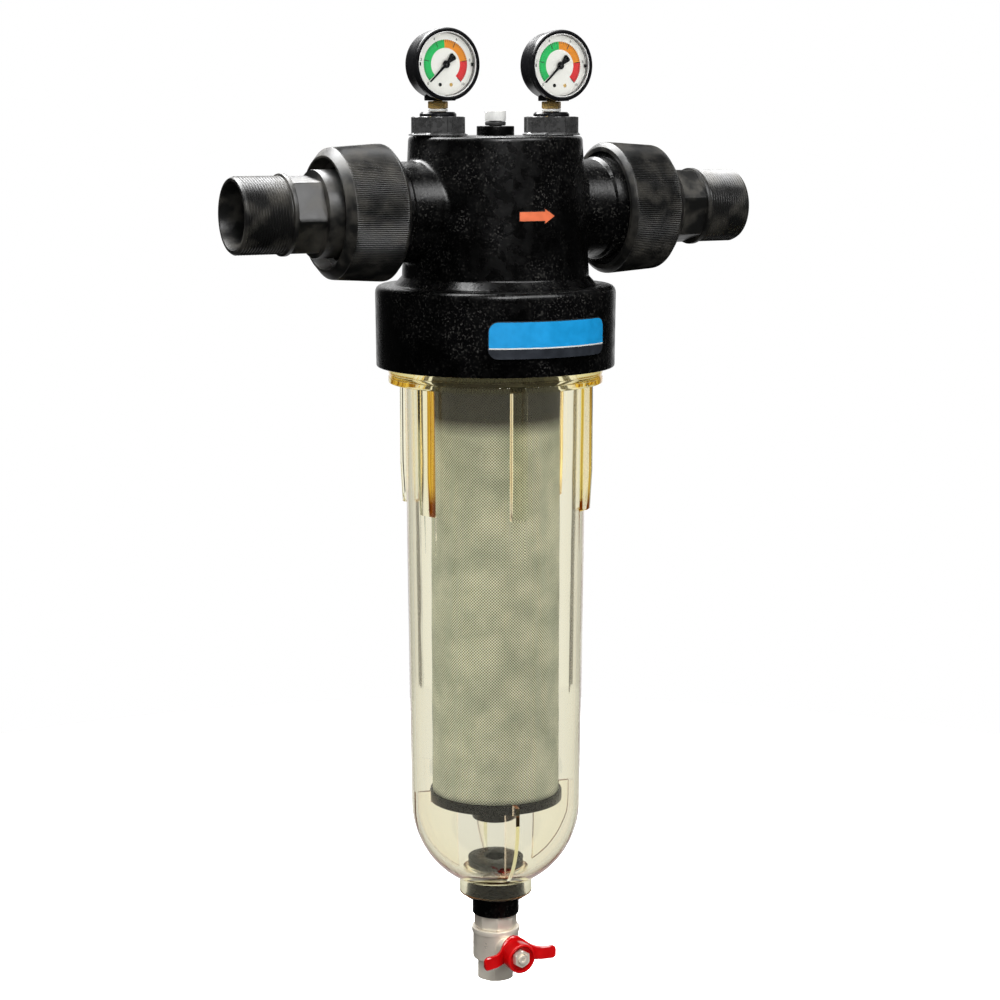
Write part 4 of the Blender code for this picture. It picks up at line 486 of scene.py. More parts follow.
def make_stub_fillet(name, sign):
    """The round where a pipe stub grows out of the head."""
    mesh = bmesh.new()
    rings = []
    reach = 5.0
    for angle in even(120):

        def on_head(r):
            y = r * math.cos(angle)
            z = r * math.sin(angle)
            return Vector((math.sqrt(head_radius(z) ** 2 - y * y), r))

        corner = on_head(STUB_R)
        start = Vector((corner.x + reach, STUB_R - SUNK))
        end = on_head(STUB_R + reach)
        end.x -= SUNK
        points = list(arc(start, corner, end, 6))
        points.append(Vector((end.x - 1.2, STUB_R + reach - 0.6)))
        points.append(Vector((corner.x - 1.0, STUB_R - 1.0)))
        points.append(Vector((corner.x + reach - 0.6, STUB_R - 1.2)))
        ring = []
        for point in points:
            ring.append(vert(mesh, sign * point.x, point.y * math.cos(angle), point.y * math.sin(angle)))
        rings.append(ring)
    skin(mesh, rings + rings[:1], capped=False)
    return finish_object(name, mesh, "black_moulding")


def wrapped(name, columns, inner_r, thickness, look, z):
    """A plate wrapped round the front, from (arc length, low, high) columns."""
    mesh = bmesh.new()
    loops = []
    for along, low, high in columns:
        angle = along / inner_r
        loop = []
        for radius, height in box(inner_r, inner_r + thickness, low, high):
            loop.append(vert(mesh, radius * math.sin(angle), -radius * math.cos(angle), z + height))
        loops.append(loop)
    skin(mesh, loops)
    bmesh.ops.remove_doubles(mesh, verts=mesh.verts, dist=WELD)
    bmesh.ops.dissolve_degenerate(mesh, edges=mesh.edges, dist=WELD)
    return finish_object(name, mesh, look)


ARROW_ALONG = -1.9
ARROW_Z = -2.0
BADGE_Z = -95.0


def arrow_columns(grow):
    half = 15.0 + grow
    barb = 6.4 - grow
    shaft = 3.5 + grow
    head = 5.5 + grow * 1.4
    columns = []
    for step in range(9):
        columns.append((ARROW_ALONG - half + (barb + half) * step / 8, -shaft, shaft))
    for step in range(7):
        share = step / 6
        high = head + (0.15 - head) * share
        columns.append((ARROW_ALONG + barb + 0.02 + (half - barb) * share, -high, high))
    return columns


def badge_columns(grow, low_cut, high_cut):
    """A rounded plate's columns, cut off between two heights."""
    half = 53.25 + grow
    tall = 14.5 + grow
    corner = 8.0 + grow
    alongs = [half - corner * (1 - math.sin(math.pi / 2 * step / 8)) for step in range(9)]
    inner = [(half - corner) * step / 24 for step in range(24)]
    positive = inner + alongs
    columns = []
    for along in [-value for value in reversed(positive) if value > 0] + positive:
        over = max(abs(along) - (half - corner), 0.0)
        drop = corner - math.sqrt(max(corner * corner - over * over, 0.0))
        low = max(-tall + drop, low_cut)
        high = min(tall - drop, high_cut)
        if high - low > 0.02:
            columns.append((along, low, high))
    return columns


def make_front_marks():
    arrow_r = head_radius(ARROW_Z - 5.5)
    arrow = wrapped("arrow", arrow_columns(0.0), arrow_r + 0.35, 0.6, "orange_print", ARROW_Z)
    settle(arrow, "head", "orange_print", "flow_arrow")
    border = wrapped("arrow_border", arrow_columns(0.6), arrow_r + 0.05, 0.5, "black_ribbed", ARROW_Z)
    settle(border, "head", "black_moulding")
    plate = wrapped("badge", badge_columns(0.0, -99.0, 99.0), 97.25, 0.95, "dark_print", BADGE_Z)
    settle(plate, "head", "blue_print", "name_plate")
    line = wrapped("badge_line", badge_columns(-0.7, -6.9, -5.9), 97.3, 1.03, "white_plastic", BADGE_Z)
    settle(line, "head", "white_plastic")
    field = wrapped("badge_field", badge_columns(-0.7, -5.9, 99.0), 97.3, 0.98, "blue_print", BADGE_Z)
    settle(field, "head", "blue_print")


# Unions
THREAD_START = 186.5
THREAD_END = 225.4
THREAD_PITCH = 2.309
THREAD_DEPTH = 1.35
HEX_START = 159.0
HEX_END = 182.9
RIBS = 200
RIBS_START = 101.4
RIBS_END = 144.4
RIB_DEPTH = 0.75


def nipple_relief(hex_turn):
    hexagon = chamfered(polygon_radius(6, 55.0, hex_turn, 60.0), 26.8, HEX_START, HEX_END, 30.4, 1.4)

    def relief(r, z, angle):
        if THREAD_START + 0.3 < z < THREAD_END - 1.2 and r > 28.0:
            phase = (z - THREAD_START) / THREAD_PITCH + angle / math.tau
            depth = abs(phase % 1.0 - 0.5) * 2.0
            ease = min((z - THREAD_START) / 2.0, (THREAD_END - z) / 2.5, 1.0)
            return r - THREAD_DEPTH * depth * ease
        return hexagon(r, z, angle)

    return relief


def make_nipple(word, turn, hex_turn):
    hex_levels = (159.05, 159.3, 159.9, 160.6, 162.0, 168.0, 179.5, 181.0, 182.0, 182.6, 182.85)
    steps = int((THREAD_END - 1.6 - THREAD_START) / THREAD_PITCH * 6)
    cut_length = THREAD_END - 2.0 - THREAD_START
    thread = [THREAD_START + 0.4 + cut_length * step / steps for step in range(steps + 1)]
    profile = [
        (24.0, 118.4), (32.8, 118.4), (32.8, 121.4), (37.2, 121.4), (37.2, 118.4), (45.2, 118.4, 0.4),
        (45.2, 130.0), (34.0, 130.0), (34.0, 158.9, 0.6), (27.0, 158.95),
        *[(27.0, level, 0.0) for level in hex_levels],
        (27.0, 182.95), (31.6, 183.0, 0.5), (31.6, THREAD_START, 0.8),
        *[(29.8, level, 0.0) for level in thread],
        (28.3, THREAD_END, 0.3), (26.0, THREAD_END, 0.3), (24.0, 206.0, 3.0),
    ]
    turned(
        word + "_nipple_body", profile, "black_ribbed", word + "_tail", "black_moulding", word + "_nipple",
        turn=turn, sides=144, relief=nipple_relief(hex_turn),
    )


def nut_relief(r, z, angle):
    if r > 46.5 and RIBS_START < z < RIBS_END:
        ease = min((z - RIBS_START) / 1.6, (RIBS_END - z) / 1.2, 1.0)
        wave = 0.5 + 0.5 * math.cos(RIBS * angle)
        return r - RIB_DEPTH * ease * (1 - wave)
    return r


def make_nut(word, turn):
    profile = [
        (46.0, 98.0), (49.5, 98.0, 0.5), (53.3, 101.6, 0.6), (53.4, 103.4, 0.0), (52.9, 112.0, 0.0),
        (52.1, 124.0, 0.0), (51.2, 138.0, 0.0), (50.9, 142.8, 0.0), (50.7, RIBS_END, 0.5),
        (44.6, 150.0, 0.8), (42.8, 150.0, 0.5), (41.4, 138.0, 0.6), (36.2, 138.0, 0.4), (36.2, 130.3),
        (46.0, 130.3),
    ]
    turned(
        word + "_nut_body", profile, "black_ribbed", word + "_nut", "black_moulding", word + "_union_nut",
        turn=turn, sides=1000, fillet=0.2, relief=nut_relief,
    )


# Gauges
CAP_FLAT_R = 21.0
CAP_RIB_R = 22.0
CAP_RIB_HALF = 4.0 / 45.0


def cap_nut_relief(cap_turn):
    """Eight flats with a rib at each corner."""
    def relief(r, z, angle):
        if r < 20.2 or z < 61.0 or z > 73.9:
            return r
        part = ((angle - cap_turn) / math.tau * 8 + 0.5) % 1.0
        from_rib = abs(part - 0.5)
        flat_angle = (part if part < 0.5 else part - 1.0) * math.tau / 8
        flat = CAP_FLAT_R * math.cos(math.pi / 8 - math.radians(5)) / math.cos(flat_angle)
        rib = CAP_RIB_R if from_rib < CAP_RIB_HALF else 0.0
        slope = (from_rib - CAP_RIB_HALF) * 45.0 / 1.4
        if 0.0 <= slope < 1.0:
            rib = CAP_RIB_R - slope * 1.2
        return min(max(flat, rib), r + 2.0)

    return relief


def make_port(word, x, cap_turn):
    place = (x, 0.0, 0.0)
    offsets = (-22.5, -17.0, -11.0, -7.0, -5.4, -4.6, -4.0, -2.0, 0.0, 2.0, 4.0, 4.6, 5.4, 7.0, 11.0, 17.0)
    angles = []
    for rib in even(8):
        angles += [cap_turn + rib + math.radians(offset) for offset in offsets]
    nut = [
        (18.6, 59.3), (23.4, 59.3, 0.3), (23.2, 60.2, 0.4), (20.8, 61.4, 0.0), (20.8, 62.0, 0.0),
        (20.8, 72.6, 0.0), (20.6, 73.6, 0.0), (19.9, 74.0, 0.2), (15.2, 74.0, 0.3), (15.2, 70.4), (18.6, 70.4),
    ]
    turned(
        word + "_cap_nut", nut, "black_satin", "head", "black_moulding", word + "_gauge_cap_nut", place,
        angles=sorted(angle % math.tau for angle in angles), fillet=0.2, relief=cap_nut_relief(cap_turn),
    )
    adapter = [
        (6.8, 52.3), (8.5, 52.3), (8.5, 66.3), (16.6, 66.3), (16.6, 69.9), (14.5, 69.9), (14.5, 76.0, 0.4),
        (12.9, 77.6, 0.4), (6.8, 77.6, 0.2),
    ]
    turned(
        word + "_adapter", adapter, "black_enamel", "head", "black_moulding", word + "_gauge_adapter", place,
        sides=72,
    )
    turned(
        word + "_washer", box(6.8, 7.6, 77.9, 79.9), "white_plastic", "head", "white_plastic",
        word + "_gauge_washer", place, sides=64,
    )
    stem = [
        (1.6, 59.0), (6.3, 59.0), (6.3, 80.1), (6.5, 80.25, 0.0), (7.0, 80.7, 0.0), (7.0, 83.0, 0.0),
        (7.0, 85.5, 0.0), (6.5, 85.85, 0.0), (3.6, 86.0, 0.0), (3.6, 96.0), (1.6, 96.0),
    ]
    hexagon = polygon_radius(6, 14.0, math.radians(-14.0), 120.0)
    turned(
        word + "_stem_hex", stem, "brass", "head", "brass", word + "_gauge_stem", place,
        fillet=0.1, relief=chamfered(hexagon, 4.4, 80.2, 85.9, 7.4, 1.5),
    )
    block = box(-2.8, 2.8, -2.8, 2.8)
    settle(prism(word + "_stem_block", block, 93.5, 105.0, "brass", place, round_off=0.3), "head", "brass")


# Dials: clock angles run in degrees clockwise from the top
ZERO_CLOCK = -135.0
FULL_CLOCK = 135.0
DIAL_FACE = 13.15
TICKS = 50
TICK_END = 18.9
FIGURE_R = 21.1
FIGURE_SIZE = 2.9


def clock_angle(step, steps):
    """The angle at one of the steps of the dial's scale."""
    return math.radians(90.0 - (ZERO_CLOCK + (FULL_CLOCK - ZERO_CLOCK) * step / steps))


def sector(name, start, end, look, place):
    """A coloured band on the dial from one clock angle to another."""
    count = max(int(abs(end - start) / 3), 1)
    mesh = bmesh.new()
    loops = []
    for step in range(count + 1):
        angle = math.radians(90.0 - start - (end - start) * step / count)
        loop = []
        for radius, height in box(12.4, 18.6, DIAL_FACE, 13.26):
            loop.append(vert(mesh, radius * math.cos(angle), radius * math.sin(angle), height))
        loops.append(loop)
    skin(mesh, loops)
    return finish_object(name, mesh, look, place, FRONT)


def dial_print(name, place, low, high):
    """Ticks and plain numbers, as one thin layer of ink."""
    mesh = bmesh.new()
    for step in range(TICKS + 1):
        clock = clock_angle(step, TICKS)
        start, half = (14.4, 0.32) if step % 10 == 0 else (16.8, 0.15)
        along = Vector((math.cos(clock), math.sin(clock)))
        across = Vector((-along.y, along.x)) * half
        inner = along * start
        outer = along * TICK_END
        slab(mesh, [inner - across, outer - across, outer + across, inner + across], low, high)
    for step in range(6):
        clock = clock_angle(step, 5)
        text = bpy.data.curves.new("figure", "FONT")
        text.body = str(step * 2)
        text.size = FIGURE_SIZE * MM
        text.align_x = "CENTER"
        text.align_y = "CENTER"
        text.extrude = (high - low) / 2 * MM
        holder = bpy.data.objects.new("figure", text)
        bpy.context.scene.collection.objects.link(holder)
        x = FIGURE_R * math.cos(clock) * MM
        y = FIGURE_R * math.sin(clock) * MM
        holder.location = (x, y, (low + high) / 2 * MM)
        bpy.context.view_layer.update()
        shape = bpy.data.meshes.new_from_object(holder.evaluated_get(bpy.context.evaluated_depsgraph_get()))
        shape.transform(holder.matrix_world)
        mesh.from_mesh(shape)
        bpy.data.objects.remove(holder, do_unlink=True)
    return finish_object(name, mesh, "dark_print", place, FRONT)


def make_gauge(word, x, cap_turn):
    make_port(word, x, cap_turn)
    place = (x, 0.0, GAUGE_Z)
    case = [
        (0.0, -5.0), (26.4, -5.0, 2.0), (26.4, 11.0, 0.4), (28.0, 12.0, 1.2), (28.0, 18.0, 1.6),
        (25.1, 18.0, 0.6), (25.1, 15.5, 0.1), (23.9, 15.5, 0.1), (23.9, 12.1), (21.8, 12.1), (21.8, -3.2),
        (0.0, -3.2),
    ]
    shell = lathe(word + "_case", case, "black_enamel", place, FRONT, 112)
    outline = box(-10.25, 10.25, -27.8, -19.8)
    block = prism(word + "_case_block", outline, -4.0, 11.3, "black_enamel", place, FRONT, 0.7)
    for piece in (shell, block):
        cut(piece, lathe("neck_cut", box(0.0, 4.1, -30.0, -12.0), None, place, sides=32))
        bake(piece)
    settle(shell, "head", "black_enamel", word + "_gauge_case")
    settle(block, "head", "black_enamel")
    # The white ring round the window's edge is a painted highlight for light refracted in the glass rim
    glint_ring = [(23.7, 13.3), (24.9, 13.3), (24.9, 17.6, 0.3), (24.3, 17.6, 0.3)]
    window = [(0.0, 15.8), (24.2, 15.8, 0.2), (24.2, 17.2, 0.3), (0.0, 17.2)]
    dial = [(1.8, 12.4), (23.6, 12.4), (23.6, 13.2, 0.2), (1.8, 13.2)]
    for name, profile, look, slot_name, node in (
        ("_window_glint_ring", glint_ring, "white_plastic", "white_plastic", None),
        ("_window", window, "clear_window", "clear_window", word + "_gauge_window"),
        ("_dial", dial, "dial_white", "white_plastic", word + "_gauge_dial"),
    ):
        turned(word + name, profile, look, "head", slot_name, node, place, FRONT)
    for shade_name, start, end in (
        ("green", -132.0, -3.0),
        ("amber", -3.0, 80.0),
        ("red", 80.0, FULL_CLOCK),
    ):
        band = sector(word + "_band_" + shade_name, start, end, shade_name + "_print", place)
        settle(band, "head", "orange_print")
    settle(dial_print(word + "_dial_ink", place, DIAL_FACE, 13.3), "head", "black_enamel")
    screw = [(0.0, 13.1), (1.4, 13.1), (1.4, 13.6, 0.3), (0.0, 13.75)]
    for side, sign, look in (("_left", -1, "black_enamel"), ("_right", 1, "brass")):
        spot = (x + 4.7 * sign, 0.0, GAUGE_Z - 15.5)
        turned(word + side + "_screw", screw, look, "head", look, None, spot, FRONT, sides=32)
        spot = (x + 22.6 * sign, 0.0, GAUGE_Z)
        outline = box(-0.7, 0.7, -1.3, 1.3)
        stop = prism(word + side + "_stop", outline, 13.1, 15.2, "black_enamel", spot, FRONT, 0.25)
        settle(stop, "head", "black_enamel")
    make_pointer(word, place)


def make_pointer(word, place):
    zero = math.radians(225.0)
    outline = [(18.9, 0.55), (4.0, 1.0), (-2.4, 1.2), (-8.2, 3.1), (-9.4, 2.5), (-9.7, 0.8)]
    outline += [(along, -half) for along, half in reversed(outline)]
    swung = []
    for along, across in outline:
        x = along * math.cos(zero) - across * math.sin(zero)
        swung.append((x, along * math.sin(zero) + across * math.cos(zero)))
    body = word + "_pointer"
    needle = prism(word + "_needle", swung, 14.5, 15.1, "black_enamel", place, FRONT, 0.12)
    settle(needle, body, "black_enamel", word + "_gauge_pointer")
    hub = [
        (0.0, 5.0), (1.0, 5.0), (1.0, 14.3), (3.0, 14.3), (3.0, 15.4, 0.3), (1.3, 15.5, 0.1), (1.0, 15.2),
        (0.0, 15.25),
    ]
    turned(word + "_hub", hub, "black_enamel", body, "black_enamel", None, place, FRONT, sides=48)
    pin = [(0.0, 15.1), (1.0, 15.1), (0.8, 15.5, 0.2), (0.0, 15.6)]
    turned(word + "_hub_pin", pin, "black_satin", body, "black_enamel", None, place, FRONT, sides=24)


# Vent
def make_vent():
    bush = [(5.4, 49.0), (8.7, 49.0), (8.7, 59.3), (15.0, 59.3), (15.0, 66.6, 0.7), (5.4, 66.6, 0.3)]
    turned("vent_bush_body", bush, "black_moulding", "head", "black_moulding", "vent_bush", sides=72)
    ring = [(5.5, 66.9), (8.3, 66.9, 1.2), (8.3, 70.3, 1.2), (5.5, 70.3)]
    turned("vent_ring", ring, "black_rubber", "vent_seal", "black_rubber", "vent_oring", sides=64)
    screw = [(0.0, 55.0), (5.0, 55.0), (5.0, 70.6), (8.4, 70.6, 0.5), (8.4, 78.8, 0.8), (0.0, 78.8)]
    cap = lathe("vent_cap", screw, "white_plastic", sides=72)
    cut(cap, prism("slot_shape", box(-9.0, 9.0, -1.2, 1.2), 76.6, 79.4, None))
    bake(cap)
    settle(cap, "vent_plug", "white_plastic", "vent_screw")


# Clear bowl
PADS = 6
PAD_TURN = math.radians(-14.0) - math.pi / 2
PAD_R = 80.2
PAD_FOOT = -240.6
WALL_TOP = -137.5
WALL_FOOT = -490.0
WALL_FOOT_R = 70.2


def bowl_angles():
    angles = even(192)
    for pad in even(PADS):
        for degrees in (3.6, 3.95, 4.3, 4.6, 4.85, 5.1):
            for sign in (-1, 1):
                angles.append((PAD_TURN + pad + sign * math.radians(degrees)) % math.tau)
    angles.sort()
    kept = [angles[0]]
    for angle in angles[1:]:
        if angle - kept[-1] > math.radians(0.2):
            kept.append(angle)
    return kept


def bowl_relief(r, z, angle):
    """The pads that stand out from the upper wall."""
    if r < 69.0 or z > WALL_TOP - SUNK or z < PAD_FOOT:
        return r
    half = math.pi / PADS
    across = abs(math.degrees((angle - PAD_TURN + half) % (math.tau / PADS) - half))
    share = min(max((5.1 - across) / 0.95, 0.0), 1.0)
    share = share * share * (3 - 2 * share)
    foot = min(max((z - PAD_FOOT) / 1.6, 0.0), 1.0)
    rise = PAD_R if z > -207.0 else 78.4 + 1.8 * (z + 239.5) / 32.5
    return r + (rise - r) * share * foot


def dome(wide, deep, end_r, steps=18):
    flat = math.acos(end_r / wide)
    scale = deep / math.sin(flat)
    points = []
    for step in range(1, steps + 1):
        angle = flat * step / steps
        points.append((wide * math.cos(angle), WALL_FOOT - scale * math.sin(angle), 0.0))
    return points


def make_bowl():
    levels = (-137.6, -150.0, -165.0, -180.0, -195.0, -207.0, -220.0, -232.0, -238.0, -239.0, -239.8, PAD_FOOT)
    profile = [
        (83.0, -80.0, 0.5), (83.6, -85.0, 0.2), (80.5, -85.0, 0.2), (80.5, -90.0, 0.2), (83.6, -90.0, 0.2),
        (83.6, -125.0, 0.3), (86.8, -125.0, 0.8), (86.8, -129.6, 0.8), (86.1, -129.8, 0.4),
        (86.1, -132.7, 0.4), (86.8, -132.9, 0.8), (86.8, WALL_TOP, 0.8), (73.6, WALL_TOP - SUNK, 0.0),
        *[(73.6 - 3.4 * (WALL_TOP - z) / 352.5, z, 0.0) for z in levels],
        (72.4, -280.0, 0.0), (71.4, -380.0, 0.0), (WALL_FOOT_R, WALL_FOOT, 0.0),
        *dome(WALL_FOOT_R, 66.0, 30.6),
        (30.6, -569.0, 1.0), (24.3, -569.0, 0.3), (24.3, -546.8, 0.3),
        *reversed(dome(65.6, 61.4, 26.0)),
        (65.6, WALL_FOOT, 0.0), (69.0, WALL_TOP, 3.0), (71.6, -125.0, 3.0), (71.6, -80.0, 0.6),
    ]
    points = soften(profile, 0.0)
    bowl = finish_object("bowl", lathe_mesh(points, bowl_angles(), bowl_relief), "clear_amber", smooth=40.0)
    for quarter in even(4):
        join(bowl, foot_rib(quarter))
    bake(bowl, 40.0)
    settle(bowl, "bowl", "clear_amber", "filter_bowl")


def foot_rib(quarter):
    """One of the upright ribs that the cage stands on."""
    floor = [(r, z) for r, z, fillet in dome(67.9, 63.7, 28.3) if r > 33.0]
    outline = [(33.0, -486.8), (55.9, -486.8), (55.9, -477.8), (67.6, -477.8), (67.9, WALL_FOOT), *floor]
    outline.append((33.0, floor[-1][1]))
    centre = math.radians(-12.5) - math.pi / 2 + quarter
    outwards = Vector((math.cos(centre), math.sin(centre), 0.0))
    sideways = Vector((-outwards.y, outwards.x, 0.0)) * 1.5
    mesh = bmesh.new()
    near = [mesh.verts.new((outwards * r + Vector((0.0, 0.0, z)) - sideways) * MM) for r, z in outline]
    far = [mesh.verts.new((outwards * r + Vector((0.0, 0.0, z)) + sideways) * MM) for r, z in outline]
    mesh.faces.new(near)
    mesh.faces.new(far)
    for i in range(len(outline)):
        following = (i + 1) % len(outline)
        mesh.faces.new((near[i], near[following], far[following], far[i]))
    return finish_object("foot_rib", mesh, None)


# Filter element
SLEEVE_TOP = -104.0
SLEEVE_FOOT = -478.6


def make_element():
    """The woven sleeve on its cage, with the collar above and the foot below."""
    mesh = bmesh.new()
    rows = 60
    rings = []
    for row in range(rows + 1):
        z = SLEEVE_TOP + (SLEEVE_FOOT - SLEEVE_TOP) * row / rows
        ring = []
        for angle in even(160):
            sag = 0.12 * math.sin(angle * 16 + z * 0.03) + 0.1 * math.sin(z * 0.11 + angle * 3)
            r = SLEEVE_R + sag * 0.8
            ring.append(vert(mesh, r * math.cos(angle), r * math.sin(angle), z))
        rings.append(ring)
    skin(mesh, rings, capped=False)
    cloth = finish_object("sleeve_cloth", mesh, "woven_mesh")
    thick = cloth.modifiers.new("cloth", "SOLIDIFY")
    thick.thickness = 0.4 * MM
    settle(cloth, "filter_element", "woven_mesh", "filter_sleeve")
    collar = [
        (26.0, -62.0), (26.0, -100.0), (49.0, -100.0), (49.0, -178.0), (51.4, -178.0, 0.3),
        (51.4, -96.0, 0.5), (29.4, -96.0, 0.5), (29.4, -62.0, 0.5),
    ]
    turned("collar", collar, "black_moulding", "filter_element", "black_moulding", "cage_collar")
    boss = [
        (0.0, -479.0), (55.3, -479.0, 0.6), (55.3, -486.5, 0.6), (19.7, -486.5, 1.0), (19.7, -504.0, 0.6),
        (15.0, -504.0, 0.3), (15.0, -487.1), (0.0, -487.1),
    ]
    turned("foot", boss, "black_moulding", "filter_element", "black_moulding", "cage_foot")


# Drain
VALVE_PLACE = (0.0, 0.0, -615.0)
VALVE_FOOT = -645.0


def body_relief(r, z, angle):
    """The hexagon at the valve's mouth, chamfered below."""
    if z < -629.5 and r > 14.4:
        return min(polygon_radius(6, 29.6, 0.0, 140.0)(angle), 15.0 + (z - VALVE_FOOT) * 1.4)
    return r


def make_drain():
    adapter = [
        (9.0, -541.0, 0.4), (9.0, -597.0), (12.6, -597.0), (12.6, -588.0), (19.7, -588.0, 0.8),
        (19.7, -571.9), (26.2, -571.9), (26.2, -571.2), (23.1, -571.2), (23.1, -569.0),
        *[(23.6 - 0.9 * (step % 2), -568.0 + 25.0 * step / 22, 0.0) for step in range(23)],
        (23.7, -541.0, 0.5),
    ]
    turned("adapter", adapter, "black_moulding", "bowl", "black_moulding", "drain_adapter", fillet=0.2)
    gasket = box(23.4, 26.4, -570.9, -569.3)
    turned("gasket", gasket, "black_rubber", "bowl", "black_rubber", "drain_gasket")
    end = [
        (13.1, -588.3, 0.2), (13.1, -597.6), (8.4, -597.6), (8.4, -600.8), (15.8, -600.8),
        (16.1, -600.15, 0.0),
        *[(16.6, level, 0.0) for level in (-600.0, -599.0, -594.0, -589.4, -588.5)],
    ]
    octagon = polygon_radius(8, 33.4, math.pi / 8, 140.0)
    turned(
        "valve_octagon", end, "nickel", "bowl", "nickel", "valve_end",
        sides=128, fillet=0.2, relief=chamfered(octagon, 16.2, -600.2, -588.3, 16.9, 1.2),
    )
    body = [
        (16.6, -600.5, 0.3), (20.2, -600.5, 0.7), (20.2, -604.5, 0.5), (19.3, -605.1, 0.3),
        (19.3, -627.0, 1.4), (15.6, -629.4, 0.2),
        *[(14.6, level, 0.0) for level in (-629.8, -636.0, -642.0, -643.6, -644.4)],
        (14.5, -644.9, 0.0), (14.2, VALVE_FOOT, 0.1), (13.6, VALVE_FOOT, 0.3), (13.0, -643.6, 0.2),
        (13.0, -634.0), (8.4, -634.0), (8.4, -630.0), (14.0, -630.0), (14.0, -601.5),
    ]
    shell = lathe("valve_shell", body, "nickel", sides=144, fillet=0.2, relief=body_relief)
    join(shell, lathe("boss_shape", box(0.0, 9.6, 14.2, 27.5), None, VALVE_PLACE, FRONT, 64, 0.4))
    cut(shell, lathe("boss_bore", box(0.0, 5.2, 8.0, 28.0), None, VALVE_PLACE, FRONT, 48, 0.0))
    bake(shell)
    settle(shell, "bowl", "nickel", "valve_body")
    make_handle()


def wing_sections():
    """Upright slices of the butterfly, from one wing tip over the crest to the other."""
    keys = [
        (33.2, 43.4, 3.3, 3.3),
        (32.6, 43.4, 4.6, 4.6),
        (31.2, 43.3, 5.5, 5.5),
        (26.0, 42.4, 5.6, 5.6),
        (21.2, 41.4, 5.6, 5.6),
        (17.4, 39.2, 5.7, 6.2),
        (14.0, 36.4, 5.9, 7.6),
        (11.0, 33.6, 6.8, 9.8),
        (8.3, 31.7, 7.7, 11.6),
        (5.4, 31.7, 7.7, 13.8),
        (2.7, 31.7, 7.7, 15.2),
    ]
    slices = [(-x, forward, low, high) for x, forward, low, high in keys]
    slices.append((0.0, 31.7, 7.7, 15.4))
    slices += list(reversed(keys))
    return slices


def make_handle():
    mesh = bmesh.new()
    loops = []
    corner = 0.8
    for x, forward, low, high in wing_sections():
        near = forward - 1.7
        far = forward + 1.7
        outline = [
            (-low + corner, near), (-low, near + corner), (-low, far - corner), (-low + corner, far),
            (high - corner, far), (high, far - corner), (high, near + corner), (high - corner, near),
        ]
        loops.append([vert(mesh, x, y, z) for y, z in outline])
    skin(mesh, loops)
    wing = finish_object("wing_shape", mesh, None, VALVE_PLACE, FRONT)
    drum = [(0.0, 30.0), (12.6, 30.0, 1.2), (12.6, 47.0, 1.6), (0.0, 47.0)]
    hub = lathe("handle", drum, "red_lacquer", VALVE_PLACE, FRONT)
    join(hub, wing)
    hollow = [
        (0.0, 29.0), (5.3, 29.0), (5.3, 34.8), (4.3, 34.8), (4.3, 42.5), (10.4, 42.5, 0.4), (10.8, 48.0),
        (0.0, 48.0),
    ]
    cut(hub, lathe("hub_hollow", hollow, None, VALVE_PLACE, FRONT, 72, 0.0))
    bake(hub, 38.0)
    settle(hub, "drain_cock", "red_lacquer", "drain_handle")
    nut = [
        (4.3, 42.8), (6.2, 42.8, 0.0), (6.4, 43.2, 0.0), (6.4, 45.0, 0.0), (6.4, 47.3, 0.0),
        (6.2, 47.75, 0.0), (4.9, 47.8, 0.1), (4.3, 47.2),
    ]
    hexagon = polygon_radius(6, 13.0, math.pi / 6, 120.0)
    turned(
        "handle_hex", nut, "nickel", "drain_cock", "nickel", "handle_nut", VALVE_PLACE, FRONT,
        fillet=0.1, relief=chamfered(hexagon, 5.0, 42.8, 47.8, 6.7, 1.6),
    )
    stem = [
        (0.0, 12.7), (5.0, 12.7), (5.0, 22.0), (3.9, 22.0), (3.9, 24.4), (5.0, 24.4), (5.0, 34.5), (4.0, 34.5),
        (4.0, 49.3, 0.5), (1.8, 49.3, 0.2), (1.6, 48.0, 0.2), (0.0, 47.9),
    ]
    turned(
        "stem", stem, "nickel", "drain_cock", "nickel", "valve_stem", VALVE_PLACE, FRONT,
        sides=48, fillet=0.1,
    )


# CAD pieces that stay take the same finishes
SLOTS = {
    "inlet_union_oring": "black_rubber",
    "outlet_union_oring": "black_rubber",
    "inlet_gauge_movement": "brass",
    "outlet_gauge_movement": "brass",
    "inlet_bourdon_tube": "brass",
    "outlet_bourdon_tube": "brass",
    "bowl_oring": "black_rubber",
    "filter_cage": "pale_plastic",
    "sleeve_clip": "black_rubber",
    "swirl_vane": "black_moulding",
    "upper_ball_seat": "white_plastic",
    "lower_ball_seat": "white_plastic",
    "stem_oring": "black_rubber",
    "valve_ball": "nickel",
}


def paint_kept_nodes():
    for name, look in SLOTS.items():
        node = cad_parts[name]
        node.data.materials.clear()
        node.data.materials.append(LOOKS[look])


